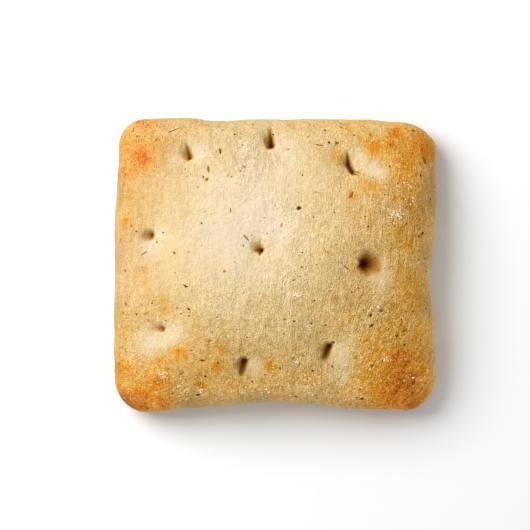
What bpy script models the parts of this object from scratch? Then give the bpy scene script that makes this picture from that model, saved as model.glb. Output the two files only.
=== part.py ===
"""A small square focaccia: one piece of dough, baked on its flat base, with nine pressed dimples.

Metres, +Z up. The origin is at the middle of the base, +X runs along the longer side, and -Y is the
front. The skin is a finely cut cube whose points are carried onto the loaf by a few formulas: a full
shoulder, a crowned top that droops at the corners, drawn-in sides and pressed dimples. The dried
herbs in the crust are fused to it.
"""

import math
import random
from dataclasses import dataclass
from enum import Enum

import bmesh
import bpy
import numpy as np
from mathutils import Matrix, Vector, noise
from mathutils.bvhtree import BVHTree

MM = 0.001

# Driving sizes of the loaf
WIDTH = 112.4 * MM
DEPTH = 102.0 * MM
BELLY_HEIGHT = 9.0 * MM  # the height at which the side stands out furthest
SHOULDER_RISE = 8.5 * MM  # from there up to the rim of the top
SHOULDER_FULLNESS = (2.5, 3.2)  # of the sides left and right, and of the front and back. 2 is round
CROWN_RISE = 9.5 * MM  # how much more the middle of the top has risen
CROWN_MIDDLE = 0.7  # the share of it that falls gently from the middle
CORNER_DROOP = 0.42  # the share of its height that the loaf lacks at a corner
FULL_UP = 0.75  # how far up the skin faces where it counts as the top
FOOT_INSET = 6.0 * MM  # how far the flat base lies inside the belly, all round
CORNER_RADII = (  # by the signs of X and Y
    (-1, 1, 9.3 * MM),
    (1, 1, 12.5 * MM),
    (1, -1, 11.0 * MM),
    (-1, -1, 10.5 * MM),
)

# Unevenness of the risen dough
SWELL_HEIGHT = 0.7 * MM
SWELL_LENGTH = 21.0 * MM
BLISTER_HEIGHT = 0.28 * MM
BLISTER_LENGTH = 6.0 * MM

# Mesh of the skin
CELLS = (41, 37, 8)  # along X, along Y and up the side
REFINED_WITHIN = (4.6 * MM, 2.3 * MM)  # round each dimple, every step halves the cells

# Every dimple
DISH_RADIUS = 9.0 * MM
GROOVE_BLEND = 4.0  # how sharply the grooves of one hole meet
GROOVE_EDGE = 2.3  # how steep the sides of a groove are
GROOVE_WALL = 0.6 * MM  # how fast a groove ends behind its hole

# Herbs that are set in the crust
SEED = 11
SCATTERED_ON_TOP = 14
SCATTERED_ON_SIDES = 10
HERB_CLEARANCE = 2.6 * MM
HOLE_CLEARANCE = 3.4 * MM
HERB_THICKNESS = 0.85 * MM
LEAF_LENGTHS = (1.2 * MM, 2.3 * MM)
LEAF_SLIMNESS = (0.3, 0.48)
NEEDLE_WIDTH = 0.45 * MM

CRUST_COLOUR = (0.72, 0.47, 0.2, 1.0)
CRUST_ROUGHNESS = 0.7


class Side(Enum):
    """A side of the loaf, by the way it faces."""

    LEFT = (-1, 0)
    RIGHT = (1, 0)
    FRONT = (0, -1)
    BACK = (0, 1)


@dataclass(frozen=True)
class SideWave:
    """A stretch where one side is drawn in by `depth`, at `at` along it. Below 0 it stands out."""

    side: Side
    at: float
    reach: float
    depth: float


@dataclass(frozen=True)
class Groove:
    """A slope from a hole out into the top: its half width at the hole and at its far end.

    A small `fall` keeps it deep for most of its length. `share` is its part of the hole's depth.
    """

    heading_deg: float
    length: float
    near: float
    far: float
    fall: float = 1.3
    share: float = 1.0


@dataclass(frozen=True)
class Dimple:
    """A pressed hole, deepest at x, y, in a shallow dish. Its sides are steep but for its grooves."""

    x: float
    y: float
    depth: float
    dish: float
    grooves: tuple[Groove, ...]


@dataclass(frozen=True)
class Herb:
    """A dried leaf or needle lying in the crust at x, y."""

    x: float
    y: float
    length: float
    width: float
    heading_deg: float


SIDE_WAVES = (
    SideWave(Side.FRONT, -2.0 * MM, 24.0 * MM, 2.9 * MM),
    SideWave(Side.FRONT, -46.0 * MM, 9.0 * MM, -0.7 * MM),
    SideWave(Side.FRONT, 51.0 * MM, 6.0 * MM, -0.5 * MM),
    SideWave(Side.RIGHT, -7.5 * MM, 17.0 * MM, 2.4 * MM),
    SideWave(Side.RIGHT, 45.0 * MM, 6.0 * MM, -1.1 * MM),
    SideWave(Side.RIGHT, -46.0 * MM, 5.0 * MM, 0.6 * MM),
    SideWave(Side.BACK, -20.0 * MM, 8.0 * MM, 0.9 * MM),
    SideWave(Side.BACK, 3.0 * MM, 20.0 * MM, 0.6 * MM),
    SideWave(Side.BACK, 52.0 * MM, 19.0 * MM, 1.8 * MM),
    SideWave(Side.LEFT, 46.0 * MM, 26.0 * MM, 1.3 * MM),
    SideWave(Side.LEFT, -20.0 * MM, 16.0 * MM, -0.7 * MM),
)

DIMPLES = (
    Dimple(-29.5 * MM, 36.8 * MM, 3.7 * MM, 1.4 * MM, (
        Groove(105, 6.2 * MM, 1.0 * MM, 0.7 * MM, 1.0),
        Groove(132, 6.0 * MM, 1.4 * MM, 2.5 * MM, 1.3, 0.75),
    )),
    Dimple(-1.4 * MM, 40.7 * MM, 5.2 * MM, 1.2 * MM, (
        Groove(93, 7.4 * MM, 1.0 * MM, 0.9 * MM, 1.1),
        Groove(114, 6.4 * MM, 1.4 * MM, 2.3 * MM, 1.3, 0.7),
    )),
    Dimple(25.2 * MM, 34.4 * MM, 3.9 * MM, 1.7 * MM, (
        Groove(96, 4.8 * MM, 0.75 * MM, 0.4 * MM, 1.0),
        Groove(-62, 3.4 * MM, 0.9 * MM, 0.8 * MM, 0.5),
        Groove(130, 4.2 * MM, 1.1 * MM, 1.6 * MM, 1.2, 0.6),
        Groove(166, 4.2 * MM, 1.2 * MM, 2.0 * MM, 1.3, 0.4),
    )),
    Dimple(26.8 * MM, 31.6 * MM, 3.1 * MM, 0.0, (
        Groove(-14, 3.2 * MM, 0.65 * MM, 0.3 * MM, 0.9),
        Groove(122, 2.6 * MM, 0.75 * MM, 0.7 * MM, 0.9),
    )),
    Dimple(-42.5 * MM, 10.0 * MM, 2.7 * MM, 1.4 * MM, (
        Groove(180, 5.2 * MM, 1.2 * MM, 2.3 * MM),
        Groove(120, 2.2 * MM, 0.75 * MM, 0.6 * MM, 0.7, 0.85),
        Groove(240, 2.2 * MM, 0.75 * MM, 0.6 * MM, 0.7, 0.85),
    )),
    Dimple(-4.8 * MM, 4.7 * MM, 4.2 * MM, 1.5 * MM, (
        Groove(118, 4.6 * MM, 0.9 * MM, 1.9 * MM, 1.3, 0.6),
        Groove(150, 4.8 * MM, 0.9 * MM, 2.0 * MM, 1.3, 0.65),
        Groove(180, 3.4 * MM, 0.7 * MM, 0.5 * MM, 1.1),
        Groove(244, 2.1 * MM, 0.6 * MM, 0.4 * MM, 1.1),
        Groove(26, 1.4 * MM, 0.6 * MM, 0.4 * MM, 1.1),
    )),
    Dimple(30.0 * MM, 0.3 * MM, 6.1 * MM, 1.8 * MM, (
        Groove(-4, 7.6 * MM, 2.1 * MM, 3.4 * MM, 0.85),
        Groove(44, 5.6 * MM, 1.6 * MM, 2.4 * MM, 1.0, 0.9),
        Groove(-48, 5.8 * MM, 1.7 * MM, 2.6 * MM, 0.9, 0.9),
    )),
    Dimple(-38.7 * MM, -22.5 * MM, 2.3 * MM, 1.6 * MM, (
        Groove(124, 2.8 * MM, 0.6 * MM, 0.45 * MM, 1.0),
        Groove(156, 5.4 * MM, 0.8 * MM, 2.0 * MM, 1.2, 0.9),
        Groove(182, 5.4 * MM, 0.7 * MM, 1.2 * MM, 1.2, 0.75),
    )),
    Dimple(-10.8 * MM, -33.2 * MM, 4.4 * MM, 1.5 * MM, (
        Groove(260, 6.0 * MM, 1.35 * MM, 1.0 * MM, 0.6),
        Groove(236, 5.4 * MM, 1.2 * MM, 2.3 * MM, 1.1, 0.7),
        Groove(150, 1.6 * MM, 1.1 * MM, 0.6 * MM, 0.8, 0.8),
    )),
    Dimple(18.5 * MM, -28.1 * MM, 4.8 * MM, 1.6 * MM, (
        Groove(252, 5.8 * MM, 1.15 * MM, 1.4 * MM, 0.7),
        Groove(30, 2.5 * MM, 0.7 * MM, 0.4 * MM, 0.9, 0.75),
        Groove(226, 5.0 * MM, 1.1 * MM, 2.3 * MM, 1.1, 0.6),
    )),
)

# The herbs that stand out most, where they lie. The rest are scattered.
CHOSEN_HERBS = (
    Herb(-35.0 * MM, 46.9 * MM, 4.5 * MM, NEEDLE_WIDTH, 29),
    Herb(-41.1 * MM, 43.5 * MM, 2.1 * MM, 0.55 * MM, 74),
    Herb(-19.0 * MM, 39.3 * MM, 2.4 * MM, 0.8 * MM, 98),
    Herb(-23.1 * MM, 33.2 * MM, 2.6 * MM, 0.8 * MM, 103),
    Herb(-23.5 * MM, 29.6 * MM, 1.6 * MM, 1.0 * MM, 60),
    Herb(-15.4 * MM, 18.9 * MM, 2.0 * MM, 0.5 * MM, 96),
    Herb(-10.0 * MM, 9.4 * MM, 2.6 * MM, NEEDLE_WIDTH, 132),
    Herb(-45.4 * MM, 4.1 * MM, 2.7 * MM, NEEDLE_WIDTH, 28),
    Herb(-34.8 * MM, 4.2 * MM, 1.5 * MM, 0.6 * MM, 148),
    Herb(8.1 * MM, 19.6 * MM, 1.8 * MM, 1.4 * MM, 20),
    Herb(-0.6 * MM, 45.2 * MM, 1.4 * MM, 0.5 * MM, 95),
    Herb(21.3 * MM, 42.2 * MM, 1.4 * MM, 1.0 * MM, 30),
    Herb(15.2 * MM, 41.5 * MM, 2.6 * MM, NEEDLE_WIDTH, 172),
    Herb(26.2 * MM, 24.2 * MM, 2.4 * MM, 1.1 * MM, 62),
    Herb(51.9 * MM, 36.2 * MM, 3.0 * MM, 1.1 * MM, 128),
    Herb(51.1 * MM, 10.9 * MM, 1.5 * MM, 0.7 * MM, 52),
    Herb(24.7 * MM, -1.0 * MM, 2.6 * MM, NEEDLE_WIDTH, 148),
    Herb(33.2 * MM, -20.9 * MM, 2.1 * MM, 0.8 * MM, 38),
    Herb(33.0 * MM, -17.3 * MM, 1.2 * MM, 1.0 * MM, 80),
    Herb(36.3 * MM, -15.6 * MM, 1.8 * MM, 1.1 * MM, 20),
    Herb(42.1 * MM, -24.5 * MM, 1.4 * MM, 0.6 * MM, 60),
    Herb(44.5 * MM, -22.8 * MM, 1.5 * MM, 0.5 * MM, 25),
    Herb(28.0 * MM, -31.6 * MM, 2.7 * MM, NEEDLE_WIDTH, 38),
    Herb(8.0 * MM, -34.3 * MM, 2.2 * MM, 1.5 * MM, 75),
    Herb(20.3 * MM, -26.7 * MM, 1.4 * MM, 0.6 * MM, 2),
    Herb(30.2 * MM, -46.4 * MM, 1.3 * MM, 0.9 * MM, 10),
    Herb(33.4 * MM, -34.8 * MM, 1.4 * MM, 0.6 * MM, 170),
    Herb(-25.3 * MM, -32.9 * MM, 1.9 * MM, 0.6 * MM, 3),
    Herb(-26.7 * MM, -44.9 * MM, 2.0 * MM, 0.8 * MM, 15),
    Herb(-38.0 * MM, -43.2 * MM, 5.2 * MM, NEEDLE_WIDTH, 29),
    Herb(-30.9 * MM, -7.2 * MM, 1.8 * MM, 0.6 * MM, 160),
    Herb(-29.8 * MM, -15.2 * MM, 1.4 * MM, 0.6 * MM, 138),
    Herb(-51.8 * MM, -13.4 * MM, 1.4 * MM, 0.6 * MM, 125),
    Herb(-32.4 * MM, -37.3 * MM, 1.9 * MM, 0.9 * MM, 30),
    Herb(-23.0 * MM, -26.0 * MM, 2.2 * MM, 0.8 * MM, 5),
    Herb(48.0 * MM, -41.0 * MM, 1.6 * MM, 0.7 * MM, 60),
    Herb(43.5 * MM, 13.5 * MM, 1.6 * MM, 1.1 * MM, 30),
    Herb(4.2 * MM, 40.0 * MM, 1.7 * MM, 0.8 * MM, 20),
)


def clear_scene() -> None:
    """Removes whatever the scene holds."""
    for item in list(bpy.data.objects):
        bpy.data.objects.remove(item, do_unlink=True)


def crust_material() -> bpy.types.Material:
    """Pale golden crust."""
    material = bpy.data.materials.new("crust")
    material.use_nodes = True
    shader = material.node_tree.nodes["Principled BSDF"]
    shader.inputs["Base Color"].default_value = CRUST_COLOUR
    shader.inputs["Roughness"].default_value = CRUST_ROUGHNESS
    shader.inputs["Metallic"].default_value = 0.0
    return material


def fade(distance: np.ndarray, reach: float) -> np.ndarray:
    """1 at no distance, falling smoothly to 0 past `reach`."""
    return np.exp(-((distance / reach) ** 2))


def smooth_step(value: np.ndarray) -> np.ndarray:
    """0 below 0, 1 above 1, and a smooth rise between."""
    held = np.clip(value, 0, 1)
    return held * held * (3 - 2 * held)


def perlin(points: np.ndarray, length: float) -> np.ndarray:
    """Smooth noise from about -1 to 1 with lumps of `length`."""
    return np.array([noise.noise(Vector(point) / length) for point in points])


def rounded_box(cube: np.ndarray) -> tuple[np.ndarray, np.ndarray]:
    """Carries points of the cube -1..1 onto a loaf with straight sides and a level top.

    The side turns from the foot at -90 degrees, by the belly at 0, to the top at 90. The cube's side
    wall takes it up to 45 degrees, and the border of the cube's top takes the rest.

    Returns:
        The points, and the way the skin faces at each.
    """
    a, b, c = cube.T
    radius = sum(r * (1 + sa * a) * (1 + sb * b) / 4 for sa, sb, r in CORNER_RADII)
    plan = np.stack([a * WIDTH / 2, b * DEPTH / 2], axis=1)
    limit = np.stack([WIDTH / 2 - radius, DEPTH / 2 - radius], axis=1)
    core = np.clip(plan, -limit, limit)
    offset = plan - core
    share = np.abs(offset).max(axis=1) / radius
    heading = offset / np.maximum(np.linalg.norm(offset, axis=1), 1e-12)[:, None]
    top, bottom = c > 1 - 1e-5, c < -1 + 1e-5
    turn = np.radians(-90 + 135 * (c + 1) / 2)
    turn = np.where(top, np.arctan2(1, share), np.where(bottom, -np.pi / 2, turn))
    full = np.where(turn > 0, heading**2 @ np.array(SHOULDER_FULLNESS), 2.0)
    full = np.maximum(full, 2.0)
    bulge = (np.abs(np.cos(turn)) ** full + np.abs(np.sin(turn)) ** full) ** (-1 / full)
    inset = np.where(turn > 0, radius, FOOT_INSET) * (1 - bulge * np.cos(turn))
    outward = np.where(bottom, (radius - FOOT_INSET) * share, radius - inset)
    rise = np.where(turn > 0, SHOULDER_RISE, BELLY_HEIGHT)
    height = BELLY_HEIGHT + rise * bulge * np.sin(turn)
    points = np.column_stack([core + heading * outward[:, None], height])
    facing = np.column_stack([heading * np.cos(turn)[:, None], np.sin(turn)])
    return points, facing


def draw_in_sides(points: np.ndarray) -> None:
    """Pulls the sides inwards along each side wave. The middle of the loaf stays."""
    share = points[:, :2] / (WIDTH / 2, DEPTH / 2)
    shift = np.zeros((len(points), 2))
    for wave in SIDE_WAVES:
        axis = 0 if wave.side.value[0] else 1
        sign = wave.side.value[axis]
        pull = np.maximum(0, sign * share[:, axis]) ** 3
        shift[:, axis] -= sign * wave.depth * fade(points[:, 1 - axis] - wave.at, wave.reach) * pull
    points[:, :2] += shift


def crown(x: np.ndarray, y: np.ndarray) -> np.ndarray:
    """How far the dome rises over x, y: gently in the middle and faster near the sides."""
    rise = CROWN_RISE
    for share in (x / (WIDTH / 2), y / (DEPTH / 2)):
        rise = rise * (1 - CROWN_MIDDLE * share**2 - (1 - CROWN_MIDDLE) * share**8)
    return rise


def groove_depth(dimple: Dimple, x: np.ndarray, y: np.ndarray) -> np.ndarray:
    """How deep the hole of one dimple is at each x, y, without its dish."""
    dx, dy = x - dimple.x, y - dimple.y
    total = np.zeros_like(x)
    for groove in dimple.grooves:
        heading = math.radians(groove.heading_deg)
        along = dx * math.cos(heading) + dy * math.sin(heading)
        share = np.clip(along / groove.length, 0, 1)
        beyond = along - share * groove.length
        reach = groove.near + (groove.far - groove.near) * share
        past_end = beyond / np.where(beyond < 0, GROOVE_WALL, reach)
        off = np.hypot((dy * math.cos(heading) - dx * math.sin(heading)) / reach, past_end)
        slope = groove.share * (1 - share) ** groove.fall * np.exp(-(off**GROOVE_EDGE))
        total += slope**GROOVE_BLEND
    return dimple.depth * total ** (1 / GROOVE_BLEND)


def dimple_depth(x: np.ndarray, y: np.ndarray) -> np.ndarray:
    """How deep the dimples press the top at each x, y."""
    depth = np.zeros_like(x)
    for dimple in DIMPLES:
        away = np.hypot(x - dimple.x, y - dimple.y)
        depth += groove_depth(dimple, x, y) + dimple.dish * fade(away, DISH_RADIUS)
    return depth


def carry_onto_loaf(cube: np.ndarray) -> np.ndarray:
    """Carries points of the cube -1..1 onto the finished loaf."""
    points, facing = rounded_box(cube)
    draw_in_sides(points)
    up = smooth_step(facing[:, 2] / FULL_UP)
    points[:, 2] += crown(points[:, 0], points[:, 1]) * up
    out = points[:, :2] / (WIDTH / 2, DEPTH / 2)
    points[:, 2] *= 1 - CORNER_DROOP * np.abs(out[:, 0] * out[:, 1]) ** 3
    swell = SWELL_HEIGHT * perlin(points, SWELL_LENGTH)
    blister = BLISTER_HEIGHT * perlin(points, BLISTER_LENGTH)
    off_the_base = np.minimum(1.0, 1 + facing[:, 2])
    points += facing * ((swell + blister) * off_the_base)[:, None]
    points[:, 2] -= dimple_depth(points[:, 0], points[:, 1]) * up
    return points


def cut_cube() -> bmesh.types.BMesh:
    """A cube from -1 to 1, cut into cells along each axis and finer round the dimples."""
    skin = bmesh.new()
    bmesh.ops.create_cube(skin, size=2)
    for axis, cells in enumerate(CELLS):
        ways = [
            edge
            for edge in skin.edges
            if abs(edge.verts[0].co[axis] - edge.verts[1].co[axis]) > 1
        ]
        bmesh.ops.subdivide_edges(skin, edges=ways, cuts=cells - 1, use_grid_fill=True)
    for reach in REFINED_WITHIN:
        tops = [face for face in skin.faces if face.normal.z > 0.5]
        near = near_a_dimple(np.array([face.calc_center_median() for face in tops]), reach)
        edges = {edge for face, is_near in zip(tops, near) if is_near for edge in face.edges}
        bmesh.ops.subdivide_edges(skin, edges=list(edges), cuts=1, use_grid_fill=True)
    return skin


def near_a_dimple(cube: np.ndarray, reach: float) -> np.ndarray:
    """Whether each point of the cube ends up within `reach` of the middle of a dimple."""
    points, _ = rounded_box(cube)
    draw_in_sides(points)
    away = [np.hypot(points[:, 0] - dimple.x, points[:, 1] - dimple.y) for dimple in DIMPLES]
    return np.min(away, axis=0) < reach


def loaf_mesh() -> bpy.types.Mesh:
    """The loaf without its herbs, its middle over the origin."""
    skin = cut_cube()
    points = carry_onto_loaf(np.array([vertex.co for vertex in skin.verts]))
    low, high = points.min(axis=0), points.max(axis=0)
    points -= [(low[0] + high[0]) / 2, (low[1] + high[1]) / 2, low[2]]
    for vertex, point in zip(skin.verts, points):
        vertex.co = point
    base = [face for face in skin.faces if face.calc_center_median().z < 0.01 * MM]
    bmesh.ops.dissolve_faces(skin, faces=base)
    bmesh.ops.triangulate(skin, faces=[face for face in skin.faces if len(face.verts) < 12])
    mesh = bpy.data.meshes.new("focaccia")
    skin.to_mesh(mesh)
    skin.free()
    return mesh


def clear_of(place: Vector, taken: list[Vector]) -> bool:
    """Whether a herb at `place` keeps its distance from the other herbs and from the holes."""
    if any((place - other).length < HERB_CLEARANCE for other in taken):
        return False
    return all(math.hypot(place.x - d.x, place.y - d.y) > HOLE_CLEARANCE for d in DIMPLES)


def herb_places(surface: BVHTree) -> list[tuple[Vector, Vector, Herb]]:
    """Where every herb lies: the point on the crust, the way the crust faces, and the herb."""
    draw = random.Random(SEED)
    above = 2 * (BELLY_HEIGHT + SHOULDER_RISE + CROWN_RISE)
    down = Vector((0, 0, -1))
    placed = []
    for herb in CHOSEN_HERBS:
        point, facing, _, _ = surface.ray_cast(Vector((herb.x, herb.y, above)), down)
        placed.append((point, facing, herb))
    wanted = len(CHOSEN_HERBS) + SCATTERED_ON_TOP
    while len(placed) < wanted + SCATTERED_ON_SIDES:
        if len(placed) < wanted:
            start = Vector((draw.uniform(-0.48, 0.48) * WIDTH, draw.uniform(-0.48, 0.48) * DEPTH, above))
            way = down
        else:
            round_the_loaf = draw.uniform(0, 2 * math.pi)
            start = Vector((math.cos(round_the_loaf), math.sin(round_the_loaf), 0)) * WIDTH
            way = -start.normalized()
            start.z = draw.uniform(0.7, 1.8) * BELLY_HEIGHT
        length = draw.uniform(*LEAF_LENGTHS)
        width = length * draw.uniform(*LEAF_SLIMNESS)
        heading = draw.uniform(0, 180)
        point, facing, _, _ = surface.ray_cast(start, way)
        if point is None or not clear_of(point, [other for other, _, _ in placed]):
            continue
        placed.append((point, facing, Herb(point.x, point.y, length, width, heading)))
    return placed


def add_herb(point: Vector, facing: Vector, herb: Herb, into: bpy.types.Collection) -> None:
    """Lays one leaf flat on the crust, sunk to half its thickness."""
    along = Vector((math.cos(math.radians(herb.heading_deg)), math.sin(math.radians(herb.heading_deg)), 0))
    if abs(facing.z) < 0.5:
        along = Vector((0, 0, 1)) * along.y + facing.cross(Vector((0, 0, 1))) * along.x
    along = (along - facing * along.dot(facing)).normalized()
    turned = Matrix((along, facing.cross(along), facing)).transposed().to_4x4()
    bpy.ops.mesh.primitive_ico_sphere_add(subdivisions=1, radius=0.5)
    leaf = bpy.context.object
    sizes = Matrix.Diagonal((herb.length, herb.width, HERB_THICKNESS, 1))
    leaf.data.transform(Matrix.Translation(point) @ turned @ sizes)
    for collection in leaf.users_collection:
        collection.objects.unlink(leaf)
    into.objects.link(leaf)


def fuse_herbs(loaf: bpy.types.Object) -> None:
    """Joins every herb to the loaf with one Boolean, and removes the herbs."""
    herbs = bpy.data.collections.new("herbs")
    bpy.context.scene.collection.children.link(herbs)
    surface = BVHTree.FromObject(loaf, bpy.context.evaluated_depsgraph_get())
    for point, facing, herb in herb_places(surface):
        add_herb(point, facing, herb, herbs)
    join = loaf.modifiers.new("herbs", "BOOLEAN")
    join.operation = "UNION"
    join.operand_type = "COLLECTION"
    join.collection = herbs
    join.solver = "EXACT"
    bpy.context.view_layer.objects.active = loaf
    bpy.ops.object.modifier_apply(modifier=join.name)
    for leaf in list(herbs.objects):
        bpy.data.objects.remove(leaf, do_unlink=True)
    bpy.data.collections.remove(herbs)


def main() -> None:
    """Builds the focaccia, one solid."""
    clear_scene()
    loaf = bpy.data.objects.new("focaccia", loaf_mesh())
    bpy.context.scene.collection.objects.link(loaf)
    fuse_herbs(loaf)
    loaf.data.materials.clear()
    loaf.data.materials.append(crust_material())
    loaf.data.shade_smooth()


main()
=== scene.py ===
"""The looks of a small square focaccia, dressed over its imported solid.

Metres, +Z up, -Y the front, the origin at the middle of the base. The crust is a cube that is cut
finely in edit mode and carried onto the loaf by the same few formulas as the solid, then dressed with
dried herbs, dark specks, and grains and flakes of flour.
"""

import logging
import math
import random
from dataclasses import dataclass
from enum import Enum

import bmesh
import bpy
import numpy as np
from mathutils import Matrix, Vector, noise
from mathutils.bvhtree import BVHTree


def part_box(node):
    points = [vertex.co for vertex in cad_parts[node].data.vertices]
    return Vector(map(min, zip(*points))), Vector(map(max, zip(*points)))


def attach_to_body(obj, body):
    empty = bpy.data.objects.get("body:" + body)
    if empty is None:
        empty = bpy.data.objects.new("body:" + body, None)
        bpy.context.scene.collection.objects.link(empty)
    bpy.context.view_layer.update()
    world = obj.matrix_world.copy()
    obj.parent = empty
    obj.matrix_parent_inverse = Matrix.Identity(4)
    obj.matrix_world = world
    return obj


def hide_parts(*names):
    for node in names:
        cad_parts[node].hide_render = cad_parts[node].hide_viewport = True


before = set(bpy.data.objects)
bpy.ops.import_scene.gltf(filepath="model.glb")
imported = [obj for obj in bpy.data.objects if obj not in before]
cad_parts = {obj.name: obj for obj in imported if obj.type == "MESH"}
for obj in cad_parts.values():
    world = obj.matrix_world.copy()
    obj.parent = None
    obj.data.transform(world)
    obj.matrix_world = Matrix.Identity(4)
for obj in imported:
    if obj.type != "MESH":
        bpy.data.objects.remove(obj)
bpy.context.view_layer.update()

LOG = logging.getLogger("focaccia")
MM = 0.001
NODE = "focaccia"
BODY = "root"

Colour = tuple[float, float, float]
Stops = tuple[tuple[float, Colour], ...]
Range = tuple[float, float]
Row = tuple[float, ...]

PHOTO_SIDE = 530  # pixels each way
METRES_PER_PIXEL = 0.35 * MM
LOAF_MIDDLE_IN_PHOTO = (275.0, 265.0)  # pixels, the middle of the loaf's outline


class Side(Enum):
    """A side of the loaf, by the way it faces."""

    LEFT = (-1, 0)
    RIGHT = (1, 0)
    FRONT = (0, -1)
    BACK = (0, 1)


@dataclass(frozen=True)
class SideWave:
    """A stretch where one side is drawn in by `depth`, at `at` along it. Below 0 it stands out."""

    side: Side
    at: float
    reach: float
    depth: float


@dataclass(frozen=True)
class Groove:
    """A slope from a hole out into the top: its half width at the hole and at its far end.

    A small `fall` keeps it deep for most of its length. `share` is its part of the hole's depth.
    """

    heading_deg: float
    length: float
    near: float
    far: float
    fall: float = 1.3
    share: float = 1.0


@dataclass(frozen=True)
class Dimple:
    """A pressed hole, deepest at x, y, in a shallow dish. Its sides are steep but for its grooves."""

    x: float
    y: float
    depth: float
    dish: float
    grooves: tuple[Groove, ...]


@dataclass(frozen=True)
class Spot:
    """A round patch of the top that fades out past `reach`."""

    x: float
    y: float
    reach: float
    strength: float


@dataclass(frozen=True)
class Herb:
    """A dried leaf or needle lying in the crust at x, y. Its tone runs from 0, dark, to 1, straw."""

    x: float
    y: float
    length: float
    width: float
    heading_deg: float
    tone: float


@dataclass(frozen=True)
class Speck:
    """A tiny bit on the crust at x, y. Its tone runs from 0, dark, to 1, pale."""

    x: float
    y: float
    length: float
    heading_deg: float
    tone: float


def make_side_waves(*rows: tuple[Side, float, float, float]) -> tuple[SideWave, ...]:
    """Side waves from rows of a side, and a place, a reach and a depth in millimetres."""
    return tuple(SideWave(side, at * MM, reach * MM, depth * MM) for side, at, reach, depth in rows)


def make_dimple(x: float, y: float, depth: float, dish: float, *grooves: Row) -> Dimple:
    """A dimple in millimetres.

    Args:
        x: Its place from left to right.
        y: Its place from front to back.
        depth: How deep its hole is.
        dish: How deep the dish round the hole is.
        grooves: Each groove's heading in degrees, length, half widths, and fall and share if given.

    Returns:
        The dimple in metres.
    """
    cut = tuple(Groove(heading, length * MM, near * MM, far * MM, *rest)
                for heading, length, near, far, *rest in grooves)
    return Dimple(x * MM, y * MM, depth * MM, dish * MM, cut)


def make_spots(*rows: Row) -> tuple[Spot, ...]:
    """Spots from rows of x, y and reach in millimetres, and strength."""
    return tuple(Spot(x * MM, y * MM, reach * MM, strength) for x, y, reach, strength in rows)


def make_herbs(*rows: Row) -> tuple[Herb, ...]:
    """Herbs from rows of x, y, length and width in millimetres, heading in degrees, and tone."""
    return tuple(Herb(x * MM, y * MM, length * MM, width * MM, heading, tone)
                 for x, y, length, width, heading, tone in rows)


def make_specks(*rows: Row) -> tuple[Speck, ...]:
    """Specks from rows of x, y and length in millimetres, heading in degrees, and tone."""
    return tuple(Speck(x * MM, y * MM, length * MM, heading, tone) for x, y, length, heading, tone in rows)


SIDE_WAVES = make_side_waves(
    (Side.FRONT, -2, 24, 2.9), (Side.FRONT, -46, 9, -0.7), (Side.FRONT, 51, 6, -0.5),
    (Side.RIGHT, -7.5, 17, 2.4), (Side.RIGHT, 45, 6, -1.1), (Side.RIGHT, -46, 5, 0.6),
    (Side.BACK, -20, 8, 0.9), (Side.BACK, 3, 20, 0.6), (Side.BACK, 52, 19, 1.8), (Side.LEFT, 46, 26, 1.3),
    (Side.LEFT, -20, 16, -0.7),
)

DIMPLES = (
    make_dimple(-29.5, 36.8, 3.7, 1.4,
                (105, 6.2, 1, 0.7, 1), (132, 6, 1.4, 2.5, 1.3, 0.75)),
    make_dimple(-1.4, 40.7, 5.2, 1.2,
                (93, 7.4, 1, 0.9, 1.1), (114, 6.4, 1.4, 2.3, 1.3, 0.7)),
    make_dimple(25.2, 34.4, 3.9, 1.7,
                (96, 4.8, 0.75, 0.4, 1), (-62, 3.4, 0.9, 0.8, 0.5), (130, 4.2, 1.1, 1.6, 1.2, 0.6),
                (166, 4.2, 1.2, 2, 1.3, 0.4)),
    make_dimple(26.8, 31.6, 3.1, 0,
                (-14, 3.2, 0.65, 0.3, 0.9), (122, 2.6, 0.75, 0.7, 0.9)),
    make_dimple(-42.5, 10, 2.7, 1.4,
                (180, 5.2, 1.2, 2.3), (120, 2.2, 0.75, 0.6, 0.7, 0.85), (240, 2.2, 0.75, 0.6, 0.7, 0.85)),
    make_dimple(-4.8, 4.7, 4.2, 1.5,
                (118, 4.6, 0.9, 1.9, 1.3, 0.6), (150, 4.8, 0.9, 2, 1.3, 0.65), (180, 3.4, 0.7, 0.5, 1.1),
                (244, 2.1, 0.6, 0.4, 1.1), (26, 1.4, 0.6, 0.4, 1.1)),
    make_dimple(30, 0.3, 6.1, 1.8,
                (-4, 7.6, 2.1, 3.4, 0.85), (44, 5.6, 1.6, 2.4, 1, 0.9), (-48, 5.8, 1.7, 2.6, 0.9, 0.9)),
    make_dimple(-38.7, -22.5, 2.3, 1.6,
                (124, 2.8, 0.6, 0.45, 1), (156, 5.4, 0.8, 2, 1.2, 0.9), (182, 5.4, 0.7, 1.2, 1.2, 0.75)),
    make_dimple(-10.8, -33.2, 4.4, 1.5,
                (260, 6, 1.35, 1, 0.6), (236, 5.4, 1.2, 2.3, 1.1, 0.7), (150, 1.6, 1.1, 0.6, 0.8, 0.8)),
    make_dimple(18.5, -28.1, 4.8, 1.6,
                (252, 5.8, 1.15, 1.4, 0.7), (30, 2.5, 0.7, 0.4, 0.9, 0.75), (226, 5, 1.1, 2.3, 1.1, 0.6)),
)

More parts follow.
